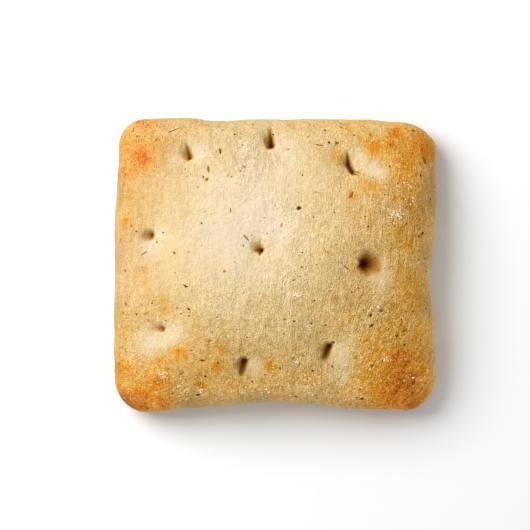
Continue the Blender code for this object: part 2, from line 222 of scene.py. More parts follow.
# Browning by the oven: broad at the corners and edges, and small toasted blisters.
EVENLY_BAKED = 0.66
EVENLY_BRIGHT = 0.965
BROWNED = make_spots(
    (-49, 38, 13, 0.15), (48, 35, 14, 0.16), (-42, -46, 15, 0.06), (44, -40, 19, 0.24), (46, 12, 8, 0.14),
    (46, -11, 7, 0.08), (-58, -36, 5, 0.3), (-20, -32, 15, 0.09), (-57, 12, 9, 0.02), (-57, -20, 9, 0.06),
    (-46.5, -46.4, 6, 0.12), (-38, -48, 4, 0.1), (-51.8, -49.4, 4, 0.8), (-54.6, -44, 3, 0.14),
    (-36, -38, 4.5, 0.1), (-47, 45, 7, 0.06), (-54, 33, 4, -0.1), (44, -48, 7, 0.1), (-44, 26, 7, 0.04),
    (35.5, -0.5, 4, -0.14), (44.5, -3, 5, 0.12), (45, -20, 6, 0.08), (51.5, 42, 4.5, 0.12),
    (40, -52, 5, -0.1), (36, 52, 6, -0.08), (57, -36, 4, -0.16), (57, 32, 4, -0.12),
)
TOASTED = make_spots(
    (-46, 37.6, 3.4, 0.34), (-46.4, 49.4, 2.6, 0.32), (-43.6, 49.6, 2, 0.16), (-53, 31.4, 2.8, 0.24),
    (-51.6, 14.9, 2.5, 0.3), (-30.4, 18.8, 1.8, 0.14), (-45.4, -1.9, 1.8, 0.26), (-44.7, -5.6, 1.5, 0.18),
    (-38.3, -12.8, 2.3, 0.27), (-33.2, -29.6, 2.4, 0.38), (-40.1, -33.4, 2.9, 0.14),
    (-18.6, -28.7, 2.3, 0.2), (-20.1, -35, 2.1, 0.27), (-2.5, -34.7, 2.4, 0.36), (-39.9, -40.4, 2.4, 0.2),
    (-45.8, -45.2, 5, 0.1), (-51.6, -34.7, 2.8, 0.18), (-37.9, -48.6, 2, 0.25), (-25.8, -42.2, 1.9, 0.26),
    (33.2, 41.4, 3, 0.28), (33.4, 37.6, 2.6, 0.26), (39.8, 41.9, 1.8, 0.24), (41.6, 46.4, 2.6, 0.26),
    (46.2, 37.7, 6, 0.05), (33, 27.2, 3.2, 0.17), (23.4, 36.2, 3, 0.24), (19.8, 37.8, 2.8, 0.2),
    (6.5, 48.2, 2.6, 0.1), (25.4, 47.2, 2.4, 0.12), (8.9, 32.6, 1.8, 0.12), (51, 40, 4, 0.08),
    (48.6, 19.6, 2.2, 0.1), (44, -31.4, 3, 0.26), (44.6, -41.4, 4.6, 0.26), (47.6, -45.6, 4, 0.18),
    (39.8, -45.4, 3.4, 0.12), (31.2, -25.8, 1.4, 0.16), (-48, 22, 9, 0.05), (-46, -43, 9, 0.07),
    (20.1, -11.5, 1.7, 0.2), (26.2, 24.2, 1.5, 0.4), (-37.8, -16.4, 1.6, 0.2), (15.2, 24.4, 1.5, 0.12),
    (-38.5, 36, 2, 0.1), (46.3, 7.2, 1.5, 0.16), (12.5, -39.5, 2.4, 0.16), (-24, -26, 1.6, 0.12),
    (-17.6, -2.2, 1.1, 0.26),
)
# Pale dough: the risen middle.
PALE = make_spots(
    (-13, 18, 27, 0.5), (-4, -6, 26, 0.19), (-26, 0, 20, 0.115), (4, 36, 20, 0.2), (9, 12, 12, 0.03),
    (1.5, 12.5, 6, 0.12), (-6, 6, 3, -0.16), (34, -21, 6, 0.04), (-50, -33, 7, 0.05),
    (-50, -14, 14, 0.04),
)
# Where the dough was stretched beside a hole: pale, floury and smooth.
STRETCHED = make_spots(
    (-26, 39, 3.8, 0.36), (-34.5, 37, 3, 0.2), (3.5, 41, 4.2, 0.24), (29.6, 37.2, 3.2, 0.4),
    (33.4, 33.2, 3.2, 0.48), (37.2, 31.2, 2.4, 0.36), (-43, 6.5, 4, 0.34), (-39, 11, 3, 0.24),
    (36.5, -5.5, 4.6, 0.27), (-36, -24.6, 4.4, 0.4), (-43, -26, 4.4, 0.44), (-6.4, -35, 3.2, 0.34),
    (22, -31, 4.4, 0.36), (23, -38, 4, 0.2),
)
# Painted shade that darkens the skin, and painted light that brightens it where the strength is below 0,
# for how the light falls across the loaf, its rims and its hole walls.
PAINTED_SHADE_AND_LIGHT = make_spots(
    (-53, 25, 5, -0.03), (1.5, 12.5, 6, -0.03), (26, -4.5, 4, 0.03), (47, -40, 5, 0.03),
    (52, -18, 4, -0.03), (-30, 48, 14, 0.08), (-8, 46, 14, 0.08), (10, 46, 9, 0.04), (-48, 36, 16, 0.08),
    (-54, 50, 6, 0.1), (-58, 26, 9, 0.26), (-58, 4, 9, 0.27), (-58, -16, 9, 0.27), (-58, -36, 8, 0.18),
    (-53.5, -49.5, 5, 0.3), (-44.6, 9.4, 2.4, 0.2), (-29.5, 37, 2, -0.3), (31, 1, 3, -0.3),
    (-11.2, -32.6, 2, -0.35), (18.4, -28.4, 1.4, -0.25), (-1.6, 41.4, 1.8, -0.15),
    (27.2, 31.8, 1.8, -0.15), (25.6, 36.6, 1.6, 0.15), (24, 33.4, 1.6, 0.15), (-40, -25, 7, 0.04),
    (20, 22, 14, -0.05), (3, 12, 9, -0.03), (-46, -14, 9, -0.03), (-50, -43, 4, -0.08), (37, 3, 4, 0.06),
    (22, 4, 8, -0.04), (48, 24, 7, 0.09), (49, 40, 6, 0.09), (33.4, 36.6, 3, 0.09), (-24, 32, 3, 0.05),
    (-47, -38, 7, -0.05), (-4, 16, 12, -0.018), (45.5, -39, 8, 0.09), (-53, -49.5, 3, 0.15),
    (46, 12, 7, 0.14), (45, -3, 6, 0.12), (45, -18, 8, 0.16), (1, -23, 9, 0.035), (46, -28, 5, 0.08),
    (35.4, -2.4, 2.8, 0.18), (26, -6, 5, 0.06), (30, -22, 9, -0.08), (36, -40, 10, -0.08),
    (57, 40, 6, -0.16), (57.5, 10, 6, -0.36), (57.5, -6, 6, -0.36), (57, -24, 6, -0.4),
    (55, -40, 6, -0.4), (-11.2, -36.2, 2.2, 0.2), (-17, -37, 9, 0.1), (-33, -45, 10, 0.2),
    (-5, -34, 7, 0.12), (17.8, -31.4, 2.2, 0.26), (20, -34, 6, 0.05), (4, -33, 8, 0.05),
    (9, -8.4, 1.8, 0.2), (6.4, 17.6, 2.2, 0.08), (47.4, 19.6, 4.6, 0.1), (20, 40.5, 5, -0.06),
    (43, 36, 6, -0.06), (51.5, -35, 5, -0.06), (-48, -33, 5, -0.03), (7, -45, 9, -0.05),
    (28, -44, 6, -0.04), (53, -3, 4, -0.12), (53, 12, 4, -0.09), (53, -20, 5, -0.16), (41, 30, 7, -0.03),
    (24, -40, 9, 0.05), (20, -11.6, 2.2, 0.12), (-46, -32, 6, -0.06), (-42, -19, 3, -0.04),
    (6, -50, 7, -0.2), (26, -49, 9, -0.24), (42, -51, 7, -0.3), (-38, -52, 7, -0.3), (-18, -51, 8, -0.2),
)
# Rosier skin, and yellower skin where the strength is below 0: partly the skin's own colour and partly
# painted light, paler and rosier where the light falls brightest, and yellower as a painted warm glow on
# the shaded walls of holes.
# At a strength of 1 the skin's red, green and blue grow by these parts of themselves.
ROSE_TINT = (0.0, -0.03, 0.28)
ROSY_AND_PAINTED_LIGHT = make_spots(
    (-46, 37.4, 5, 0.3), (-51.6, 14.9, 3, 0.5), (-52.5, 27, 7, 0.2), (2.5, 11.5, 6, 0.1),
    (-48, 40, 13, 0.75), (-52, 13, 8, 0.5), (-46, 37, 3.6, 0.9), (-45.4, 49, 3.6, 0.3),
    (-47, -3, 10, 0.25), (44, 30, 9, 0.4), (56, -36, 5, 0.9), (56, 0, 5, 0.5), (56, 34, 5, 0.5),
    (35.4, -0.6, 3, 0.5), (38, -36, 3, 0.4), (42, -50, 6, 0.4), (-42, -50, 6, 0.4), (-48, -35, 8, 0.4),
    (24, 24, 10, 0.15), (46, -21, 5, -0.2), (45, -4, 4, -0.3), (-6, 6.4, 2.4, -0.6),
    (-2, 43.6, 2.2, -0.6), (-31, 40, 2.2, -0.4), (-44.6, 10.8, 2.2, -0.4), (44, -40, 9, -0.3),
    (8, -32, 10, -0.15), (0, -6, 12, -0.12), (18, -8, 8, -0.15),
)
# Skin that is smooth where the dough was stretched, and coarse near the corners and the front.
SMOOTH = make_spots(
    (-16, 12, 20, 0.78), (-42, -4, 15, 0.45), (-42, 24, 12, 0.35), (12, 33, 14, 0.45), (17, 12, 10, 0.15),
)
COARSE = make_spots(
    (44, -40, 14, 0.65), (0, -46, 16, 0.2), (24, -42, 12, 0.3), (-46, -44, 13, 0.1), (-46, 42, 12, 0.1),
    (46, 38, 11, 0.2), (36, -14, 13, 0.65), (44, 14, 10, 0.5),
)
# Where fine flour is thickest.
FLOURED = make_spots(
    (-11, 40.5, 3.4, 0.9), (-9, 34.5, 2.6, 0.7), (42, 17.5, 3.2, 0.8), (-39.2, -38.2, 1.7, 1),
    (-26, -44.8, 2.4, 0.9), (7.6, -34.3, 1.8, 0.9), (12.3, -41.5, 2.8, 0.6), (9.2, -9.8, 1.1, 1),
    (51, -40.5, 1.9, 0.8), (-6, -46, 7, 0.45), (28, -47, 6, 0.45), (6, 17, 4, 0.35), (-47, 46, 4.5, 0.8),
    (57, 14, 6, 0.7), (57, -6, 6, 0.7), (57, -28, 6, 0.6), (-36, -51, 5, 0.6), (-18, -50, 6, 0.7),
    (18, -49, 6, 0.7), (42, 49.5, 4, 0.5), (-46.5, -46, 4, 0.4), (-48, -20, 13, 0.3), (-52, 32, 8, 0.4),
    (30, -20, 10, 0.25), (24, 26, 10, 0.2),
)
# Where flakes of dry flour lie together.
FLAKED = make_spots(
    (-11, 41.3, 3.6, 1), (-10.2, 33.8, 3, 0.8), (41.6, 16.6, 3.6, 1.2), (45.7, 27.4, 2.6, 0.8),
    (47.8, 21.8, 2.4, 0.8), (4.4, 16.9, 3, 0.6), (-38.8, -37.6, 1.7, 1.6), (-25.3, -43.8, 2, 1.4),
    (-50.9, -43.6, 1.3, 1), (-6, -11.6, 3, 0.4), (7.5, -33.4, 2.4, 1.2), (37.8, -32, 1.2, 1.6),
    (47.8, -38.9, 1.6, 0.8), (7.9, -10.2, 1.3, 1.4), (36.1, -14.6, 1.6, 0.9), (12.3, -40.6, 3, 0.9),
    (21.5, -36.6, 2.4, 0.6), (-8, -46, 7, 0.5), (8, -46.4, 6, 0.5), (26, -46.6, 7, 0.6),
    (-18, -12.6, 4, 0.3), (-45, 48, 3, 0.5), (-31, -44, 4, 0.6),
)

NEEDLE = 0.45  # millimetres, the width of a rosemary needle
NEEDLE_WIDTH = NEEDLE * MM
# The herbs that stand out most, where they lie.
CHOSEN_HERBS = make_herbs(
    (-35, 46.9, 4.5, NEEDLE, 29, 0.5), (-41.1, 43.5, 2.1, 0.55, 74, 0.6), (-19, 39.3, 2.4, 0.8, 98, 0.35),
    (-23.1, 33.2, 2.6, 0.8, 103, 0.5), (-23.5, 29.6, 1.6, 1, 60, 0.75), (-15.4, 18.9, 2, 0.5, 96, 0.75),
    (-10, 9.4, 2.6, NEEDLE, 132, 0.5), (-45.4, 4.1, 2.7, NEEDLE, 28, 0.8),
    (-34.8, 4.2, 1.5, 0.6, 148, 0.5), (8.1, 19.6, 1.8, 1.4, 20, 0.08), (-0.6, 45.2, 1.4, 0.5, 95, 0.15),
    (21.3, 42.2, 1.4, 1, 30, 0.5), (15.2, 41.5, 2.6, NEEDLE, 172, 0.65), (26.2, 24.2, 2.4, 1.1, 62, 0.65),
    (51.9, 36.2, 3, 1.1, 128, 0.4), (51.1, 10.9, 1.5, 0.7, 52, 0.08), (24.7, -1, 2.6, NEEDLE, 148, 0.5),
    (33.2, -20.9, 2.1, 0.8, 38, 0.15), (33, -17.3, 1.2, 1, 80, 0.12), (36.3, -15.6, 1.8, 1.1, 20, 0.5),
    (42.1, -24.5, 1.4, 0.6, 60, 0.2), (44.5, -22.8, 1.5, 0.5, 25, 0.35),
    (28, -31.6, 2.7, NEEDLE, 38, 0.65), (8, -34.3, 2.2, 1.5, 75, 0.8), (20.3, -26.7, 1.4, 0.6, 2, 0.15),
    (30.2, -46.4, 1.3, 0.9, 10, 0.08), (33.4, -34.8, 1.4, 0.6, 170, 0.3),
    (-25.3, -32.9, 1.9, 0.6, 3, 0.25), (-26.7, -44.9, 2, 0.8, 15, 0.35),
    (-38, -43.2, 5.2, NEEDLE, 29, 0.95), (-30.9, -7.2, 1.8, 0.6, 160, 0.35),
    (-29.8, -15.2, 1.4, 0.6, 138, 0.25), (-51.8, -13.4, 1.4, 0.6, 125, 0.5),
    (-32.4, -37.3, 1.9, 0.9, 30, 0.7), (-23, -26, 2.2, 0.8, 5, 0.75), (48, -41, 1.6, 0.7, 60, 0.3),
    (43.5, 13.5, 1.6, 1.1, 30, 0.75), (4.2, 40, 1.7, 0.8, 20, 0.85),
)
CHOSEN_SPECKS = make_specks(
    (-48, 44.8, 1.2, 20, 0.55), (-48.8, 34.7, 0.7, 0, 0.4), (-26.8, 27, 0.9, 15, 0.5),
    (-24.8, 30.4, 1, 10, 0.3), (-24.5, 39.6, 0.8, 20, 0.6), (-22.5, 40.5, 0.7, 0, 0.7),
    (-18.2, 46.7, 0.9, 60, 0.35), (-14, 45.2, 1, 160, 0.25), (-30.4, 30.6, 0.8, 90, 0.6),
    (-29.2, 31.4, 0.7, 0, 0.6), (-15, 30.4, 0.9, 80, 0.4), (-16.2, 31, 0.6, 0, 0.7),
    (-12, 32.4, 1, 40, 0.6), (-11.3, 41.5, 1, 30, 0.6), (-25.4, 14.4, 0.9, 0, 0.3),
    (-22, 17.5, 0.8, 0, 0.8), (-48, 11.6, 1.1, 160, 0.45), (-38.7, 11.2, 0.9, 60, 0.55),
    (-49.8, 13.6, 1.3, 20, 0.6), (-40.9, 7.9, 0.9, 0, 0.02), (-11, 6.6, 0.9, 110, 0.05),
    (-2.8, 10.9, 0.7, 30, 0.7), (-53.7, 8.8, 1, 90, 0.6), (-52, 31.5, 1.4, 80, 0.6),
    (-52, -1.9, 1, 20, 0.3), (-53.6, -10.7, 0.7, 0, 0.25), (-50.5, -10.9, 0.8, 90, 0.5),
    (-52.7, -16.6, 1.2, 100, 0.55), (-48, -17.1, 1.1, 115, 0.3), (-42.6, -13.2, 1, 10, 0.45),
    (-33.8, -14.8, 1, 40, 0.6), (-29.8, -17.6, 0.8, 90, 0.5), (-32.5, -16.8, 1, 170, 0.5),
    (-20, -17.9, 0.8, 0, 0.45), (-37.8, -19.3, 0.9, 0, 0.03), (-51.8, -25.8, 1.5, 120, 0.75),
    (-54.3, -34.4, 1, 70, 0.35), (-17.5, -2.1, 1.5, 95, 0.75), (-24.1, -38.5, 1.2, 50, 0.15),
    (-19.8, -33.8, 0.9, 10, 0.3), (-9.7, -25, 0.8, 80, 0.3), (-9.7, -30.6, 0.7, 0, 0.1),
    (-8, -40.3, 1.2, 145, 0.5), (-3.6, -37.9, 0.7, 0, 0.1), (-0.7, -38.2, 0.7, 0, 0.1),
    (-28.8, -29.6, 0.6, 0, 0.4), (-28, -28.5, 0.5, 0, 0.5), (-35.6, -44.6, 1, 20, 0.4),
    (13.2, 16.5, 0.9, 20, 0.45), (9.4, 31, 0.9, 70, 0.4), (18.6, 42.4, 1.2, 10, 0.2),
    (22.7, 49.3, 1.2, 0, 0.4), (22.8, 47.9, 1.2, 0, 0.55), (17.2, 46.7, 1.1, 5, 0.5),
    (27.3, 45, 1.2, 20, 0.6), (33, 45.2, 1.3, 30, 0.6), (39.9, 41.7, 1, 30, 0.45),
    (48.2, 46.8, 1.5, 150, 0.4), (11.2, 44.3, 1, 30, 0.65), (39.7, 34, 1, 10, 0.25),
    (33.8, 30.3, 0.8, 0, 0.5), (30.6, 31.1, 0.7, 40, 0.5), (50.5, 31, 1.1, 15, 0.08),
    (52.5, 30.4, 0.6, 0, 0.5), (42.3, 28.2, 0.9, 60, 0.45), (37.7, 24.2, 0.6, 0, 0.3),
    (44.5, 23, 0.7, 0, 0.4), (54.1, 22.8, 1.2, 88, 0.35), (31, 16.7, 1, 70, 0.3),
    (32, 13.3, 1.1, 20, 0.08), (20.4, 18.2, 0.8, 60, 0.5), (23.6, 14.6, 0.7, 0, 0.6),
    (20.8, 13.1, 0.9, 0, 0.7), (49.7, 9.9, 1.2, 50, 0.08), (53.7, 11.1, 0.6, 0, 0.2),
    (9.4, 4.3, 0.9, 170, 0.2), (8.5, 4.4, 0.6, 0, 0.5), (18, 4.4, 0.9, 75, 0.5),
    (49.7, 1.9, 1.1, 75, 0.2), (51.8, 2.3, 0.7, 0, 0.25), (48.3, 5.2, 0.6, 0, 0.3),
    (46.1, 7, 1.5, 100, 0.75), (46.5, 16.3, 0.7, 0, 0.4), (20.9, 7, 0.8, 90, 0.5),
    (9.1, -0.7, 1.1, 5, 0.25), (14.2, 0.1, 0.9, 10, 0.45), (35.8, -1.8, 1, 0, 0.1),
    (40, -0.5, 0.7, 0, 0.3), (52.5, -2.2, 1.2, 88, 0.3), (26.3, -9.3, 0.9, 0, 0.1),
    (28.7, -8, 0.9, 80, 0.55), (26.9, -10.6, 0.6, 0, 0.5), (19.1, -8.8, 0.9, 20, 0.5),
    (13.3, -12.3, 1.1, 10, 0.15), (47.8, -15.9, 0.8, 0, 0.25), (52.2, -15.1, 0.9, 85, 0.3),
    (43.5, -18.8, 0.8, 60, 0.2), (44.2, -17.5, 0.6, 50, 0.3), (3.3, -18.7, 1, 10, 0.5),
    (6.5, -19.4, 1.1, 150, 0.4), (12.5, -20.2, 1, 95, 0.12), (17.4, -20.8, 1.5, 60, 0.6),
    (3, -23.7, 1, 20, 0.55), (39.3, -22, 1, 70, 0.4), (44.7, -27.6, 1.1, 55, 0.15),
    (31.3, -26, 1.2, 0, 0.65), (50.4, -25.9, 0.9, 110, 0.3), (37.2, -26.9, 0.6, 0, 0.5),
    (15, -32.6, 0.8, 20, 0.4), (6.4, -32.1, 0.9, 20, 0.45), (1.7, -35.7, 1, 50, 0.45),
    (12.9, -36.5, 1.2, 45, 0.15), (19.7, -35.1, 1.1, 60, 0.4), (22.1, -35.9, 0.8, 10, 0.4),
    (51.2, -32.7, 0.8, 0, 0.05), (41, -32, 0.7, 0, 0.2), (42, -40.4, 0.6, 0, 0.25),
    (42, -43.8, 0.9, 20, 0.15), (38.5, -40.8, 0.8, 160, 0.2), (46.7, -38.5, 0.8, 30, 0.3),
    (47.8, -44.3, 1.1, 160, 0.25), (28.4, -46, 0.9, 20, 0.4), (26, -48.4, 1, 0, 0.4),
    (5.1, -41, 0.8, 0, 0.6), (7.2, -45.5, 1.4, 0, 0.5), (-44.6, -50, 1.5, 0, 0.2),
)
CHOSEN_GRAINS = make_specks(
    (7.6, -10.6, 1, 5, 1), (8.6, -10.5, 0.7, 20, 0.9), (38.6, -31.9, 0.7, 0, 0.8),
    (37.3, -32.4, 0.8, 20, 0.8), (39.2, -27.4, 0.8, 20, 0.6), (-22.8, -13.8, 0.6, 0, 0.9),
    (-15, -16.3, 0.7, 100, 0.9), (-13.9, -12.5, 0.8, 80, 0.8), (-38.7, -37.5, 0.9, 30, 1),
    (-38.1, -38.7, 0.7, 60, 0.9), (-25.2, -43.1, 0.9, 100, 1), (-25.8, -44.3, 0.8, 60, 1),
    (7.2, -33.7, 0.8, 60, 0.9), (8.7, -34.8, 0.7, 80, 0.9), (48, -39.2, 0.9, 30, 0.9),
    (-51, -43.4, 0.8, 20, 0.7), (42.4, 17.4, 1.4, 108, 0.9), (41, 18.2, 1, 70, 0.9),
    (43.6, 16.3, 1, 120, 0.9), (44.4, 17.6, 0.8, 100, 0.8), (47.7, 22, 1.1, 110, 0.8),
    (46.9, 21, 0.9, 100, 0.8), (47, 27, 1, 90, 0.7), (48.6, 28.2, 0.8, 80, 0.7),
    (-46.9, 46.8, 0.7, 0, 0.7), (-45.2, 48.2, 0.6, 40, 0.7), (-35.8, 46.8, 1.3, 30, 0.9),
    (-34.4, 47.6, 1, 35, 0.9), (-3.1, -43, 1.1, 60, 0.9), (-2.1, -44, 1, 50, 0.9),
    (-4.6, -44.2, 0.9, 70, 0.8), (43.9, -11.4, 0.6, 80, 0.7), (17.2, 6.4, 0.9, 80, 0.8),
    (16.4, 5, 0.8, 90, 0.7), (-21, -19, 0.8, 60, 0.8), (-31.2, -43.4, 1, 20, 0.8),
)


NO_LENGTH = 1e-12  # keeps a division safe
FACES_ALONG = 0.5  # past this, a normal counts as facing along an axis
LOOK_ROUND = 3  # how many reaches round a dimple are looked through for its cells
ON_FACE = 1 - 1e-5  # past this, a point of the cube -1..1 lies on its top or bottom


def fade(distance: np.ndarray, reach: float | np.ndarray) -> np.ndarray:
    """1 at no distance, falling smoothly to 0 past `reach`."""
    return np.exp(-((distance / reach) ** 2))


def smooth_step(value: np.ndarray) -> np.ndarray:
    """0 below 0, 1 above 1, and a smooth rise between."""
    held = np.clip(value, 0, 1)
    return held * held * (3 - 2 * held)


def spread(spots: tuple[Spot, ...], x: np.ndarray, y: np.ndarray) -> np.ndarray:
    """The sum of the spots' strengths at each x, y."""
    return sum(spot.strength * fade(np.hypot(x - spot.x, y - spot.y), spot.reach) for spot in spots)


def perlin(points: np.ndarray, length: float, offset: float = 0.0) -> np.ndarray:
    """Smooth noise from about -1 to 1 with lumps of `length`."""
    shift = Vector((offset, offset, offset))
    return np.array([noise.noise(Vector(point) / length + shift) for point in points])


@dataclass(frozen=True)
class LoafForm:
    """The form of the loaf as formulas, the same as the solid's."""

    width: float = 112.4 * MM
    depth: float = 102.0 * MM
    belly_height: float = 9.0 * MM
    shoulder_rise: float = 8.5 * MM
    shoulder_fullness: Range = (2.5, 3.2)  # along X and along Y
    roundness: float = 2.0  # of a plain ellipse
    foot_turn_deg: float = -90.0
    edge_turn_deg: float = 45.0
    crown_rise: float = 9.5 * MM
    crown_middle: float = 0.7
    crown_power: int = 8
    corner_droop: float = 0.42
    droop_power: int = 3
    pull_power: int = 3
    full_up: float = 0.75
    foot_inset: float = 6.0 * MM
    corner_radii: tuple[tuple[int, int, float], ...] = (
        (-1, 1, 9.3 * MM),
        (1, 1, 12.5 * MM),
        (1, -1, 11.0 * MM),
        (-1, -1, 10.5 * MM),
    )
    swell_height: float = 0.7 * MM
    swell_length: float = 21.0 * MM
    blister_height: float = 0.28 * MM
    blister_length: float = 6.0 * MM
    dish_radius: float = 9.0 * MM
    groove_blend: float = 4.0
    groove_edge: float = 2.3
    groove_wall: float = 0.6 * MM

    @property
    def height(self) -> float:
        """From the base to the middle of the top, before it is dimpled."""
        return self.belly_height + self.shoulder_rise + self.crown_rise

    def rounded_box(self, cube: np.ndarray) -> tuple[np.ndarray, np.ndarray]:
        """Carries points of the cube -1..1 onto a loaf with straight sides and a level top.

        Args:
            cube: Points on the cube's skin, one a row.

        Returns:
            The points, and the way the skin faces at each.
        """
        a, b, c = cube.T
        radius = sum(r * (1 + sa * a) * (1 + sb * b) / 4 for sa, sb, r in self.corner_radii)
        plan = np.stack([a * self.width / 2, b * self.depth / 2], axis=1)
        limit = np.stack([self.width / 2 - radius, self.depth / 2 - radius], axis=1)
        core = np.clip(plan, -limit, limit)
        offset = plan - core
        share = np.abs(offset).max(axis=1) / radius
        heading = offset / np.maximum(np.linalg.norm(offset, axis=1), NO_LENGTH)[:, None]
        top, bottom = c > ON_FACE, c < -ON_FACE
        turn = np.radians(self.foot_turn_deg + (self.edge_turn_deg - self.foot_turn_deg) * (c + 1) / 2)
        turn = np.where(top, np.arctan2(1, share), np.where(bottom, -np.pi / 2, turn))
        full = np.where(turn > 0, heading**2 @ np.array(self.shoulder_fullness), self.roundness)
        full = np.maximum(full, self.roundness)
        bulge = (np.abs(np.cos(turn)) ** full + np.abs(np.sin(turn)) ** full) ** (-1 / full)
        inset = np.where(turn > 0, radius, self.foot_inset) * (1 - bulge * np.cos(turn))
        outward = np.where(bottom, (radius - self.foot_inset) * share, radius - inset)
        rise = np.where(turn > 0, self.shoulder_rise, self.belly_height)
        height = self.belly_height + rise * bulge * np.sin(turn)
        points = np.column_stack([core + heading * outward[:, None], height])
        facing = np.column_stack([heading * np.cos(turn)[:, None], np.sin(turn)])
        return points, facing

    def draw_in_sides(self, points: np.ndarray) -> None:
        """Pulls the sides inwards along each side wave. The middle of the loaf stays.

        Args:
            points: The points to move, one a row.
        """
        half = (self.width / 2, self.depth / 2)
        share = points[:, :2] / half
        shift = np.zeros((len(points), 2))
        for wave in SIDE_WAVES:
            axis = 0 if wave.side.value[0] else 1
            sign = wave.side.value[axis]
            pull = np.maximum(0, sign * share[:, axis]) ** self.pull_power
            shift[:, axis] -= sign * wave.depth * fade(points[:, 1 - axis] - wave.at, wave.reach) * pull
        points[:, :2] += shift

    def crown(self, x: np.ndarray, y: np.ndarray) -> np.ndarray:
        """How far the dome rises over x, y: gently in the middle and faster near the sides.

        Args:
            x: Places from left to right.
            y: Places from front to back.

        Returns:
            The rise at each place.
        """
        rise = self.crown_rise
        for share in (x / (self.width / 2), y / (self.depth / 2)):
            near_side = (1 - self.crown_middle) * share**self.crown_power
            rise = rise * (1 - self.crown_middle * share**2 - near_side)
        return rise

    def groove_depth(self, dimple: Dimple, x: np.ndarray, y: np.ndarray) -> np.ndarray:
        """How deep the hole of one dimple is at each x, y, without its dish.

        Args:
            dimple: The dimple.
            x: Places from left to right.
            y: Places from front to back.

        Returns:
            The depth at each place.
        """
        dx, dy = x - dimple.x, y - dimple.y
        total = np.zeros_like(x)
        for groove in dimple.grooves:
            heading = math.radians(groove.heading_deg)
            along = dx * math.cos(heading) + dy * math.sin(heading)
            share = np.clip(along / groove.length, 0, 1)
            beyond = along - share * groove.length
            reach = groove.near + (groove.far - groove.near) * share
            past_end = beyond / np.where(beyond < 0, self.groove_wall, reach)
            off = np.hypot((dy * math.cos(heading) - dx * math.sin(heading)) / reach, past_end)
            slope = groove.share * (1 - share) ** groove.fall * np.exp(-(off**self.groove_edge))
            total += slope**self.groove_blend
        return dimple.depth * total ** (1 / self.groove_blend)

    def dimple_depth(self, x: np.ndarray, y: np.ndarray) -> np.ndarray:
        """How deep the dimples press the top at each x, y.

        Args:
            x: Places from left to right.
            y: Places from front to back.

        Returns:
            The depth at each place.
        """
        depth = np.zeros_like(x)
        for dimple in DIMPLES:
            away = np.hypot(x - dimple.x, y - dimple.y)
            depth += self.groove_depth(dimple, x, y) + dimple.dish * fade(away, self.dish_radius)
        return depth

    def carry(self, cube: np.ndarray) -> tuple[np.ndarray, np.ndarray]:
        """Carries points of the cube -1..1 onto the finished loaf.

        Args:
            cube: Points on the cube's skin, one a row.

        Returns:
            The points, and how much each one belongs to the top, from 0 to 1.
        """
        points, facing = self.rounded_box(cube)
        self.draw_in_sides(points)
        up = smooth_step(facing[:, 2] / self.full_up)
        points[:, 2] += self.crown(points[:, 0], points[:, 1]) * up
        out = points[:, :2] / (self.width / 2, self.depth / 2)
        points[:, 2] *= 1 - self.corner_droop * np.abs(out[:, 0] * out[:, 1]) ** self.droop_power
        swell = self.swell_height * perlin(points, self.swell_length)
        blister = self.blister_height * perlin(points, self.blister_length)
        off_the_base = np.minimum(1.0, 1 + facing[:, 2])
        points += facing * ((swell + blister) * off_the_base)[:, None]
        points[:, 2] -= self.dimple_depth(points[:, 0], points[:, 1]) * up
        return points, up


def deselect_all() -> None:
    """Leaves nothing selected, so that the next operator acts on its own piece."""
    bpy.ops.object.select_all(action="DESELECT")


def read_points(mesh: bpy.types.Mesh) -> np.ndarray:
    """The mesh's points, one a row.

    Args:
        mesh: The mesh to read.

    Returns:
        Its points.
    """
    points = np.empty(len(mesh.vertices) * 3, np.float32)
    mesh.vertices.foreach_get("co", points)
    return points.reshape(-1, 3).astype(float)


def write_points(mesh: bpy.types.Mesh, points: np.ndarray) -> None:
    """Moves the mesh's points."""
    mesh.vertices.foreach_set("co", points.astype(np.float32).ravel())
    mesh.update()


def paint(mesh: bpy.types.Mesh, name: str, values: np.ndarray) -> None:
    """Stores one number for each point, for the materials to read."""
    layer = mesh.attributes.new(name, "FLOAT", "POINT")
    layer.data.foreach_set("value", values.astype(np.float32))


def paint_vector(mesh: bpy.types.Mesh, name: str, values: np.ndarray) -> None:
    """Stores one vector for each point, for the materials to read."""
    layer = mesh.attributes.new(name, "FLOAT_VECTOR", "POINT")
    layer.data.foreach_set("vector", values.astype(np.float32).ravel())


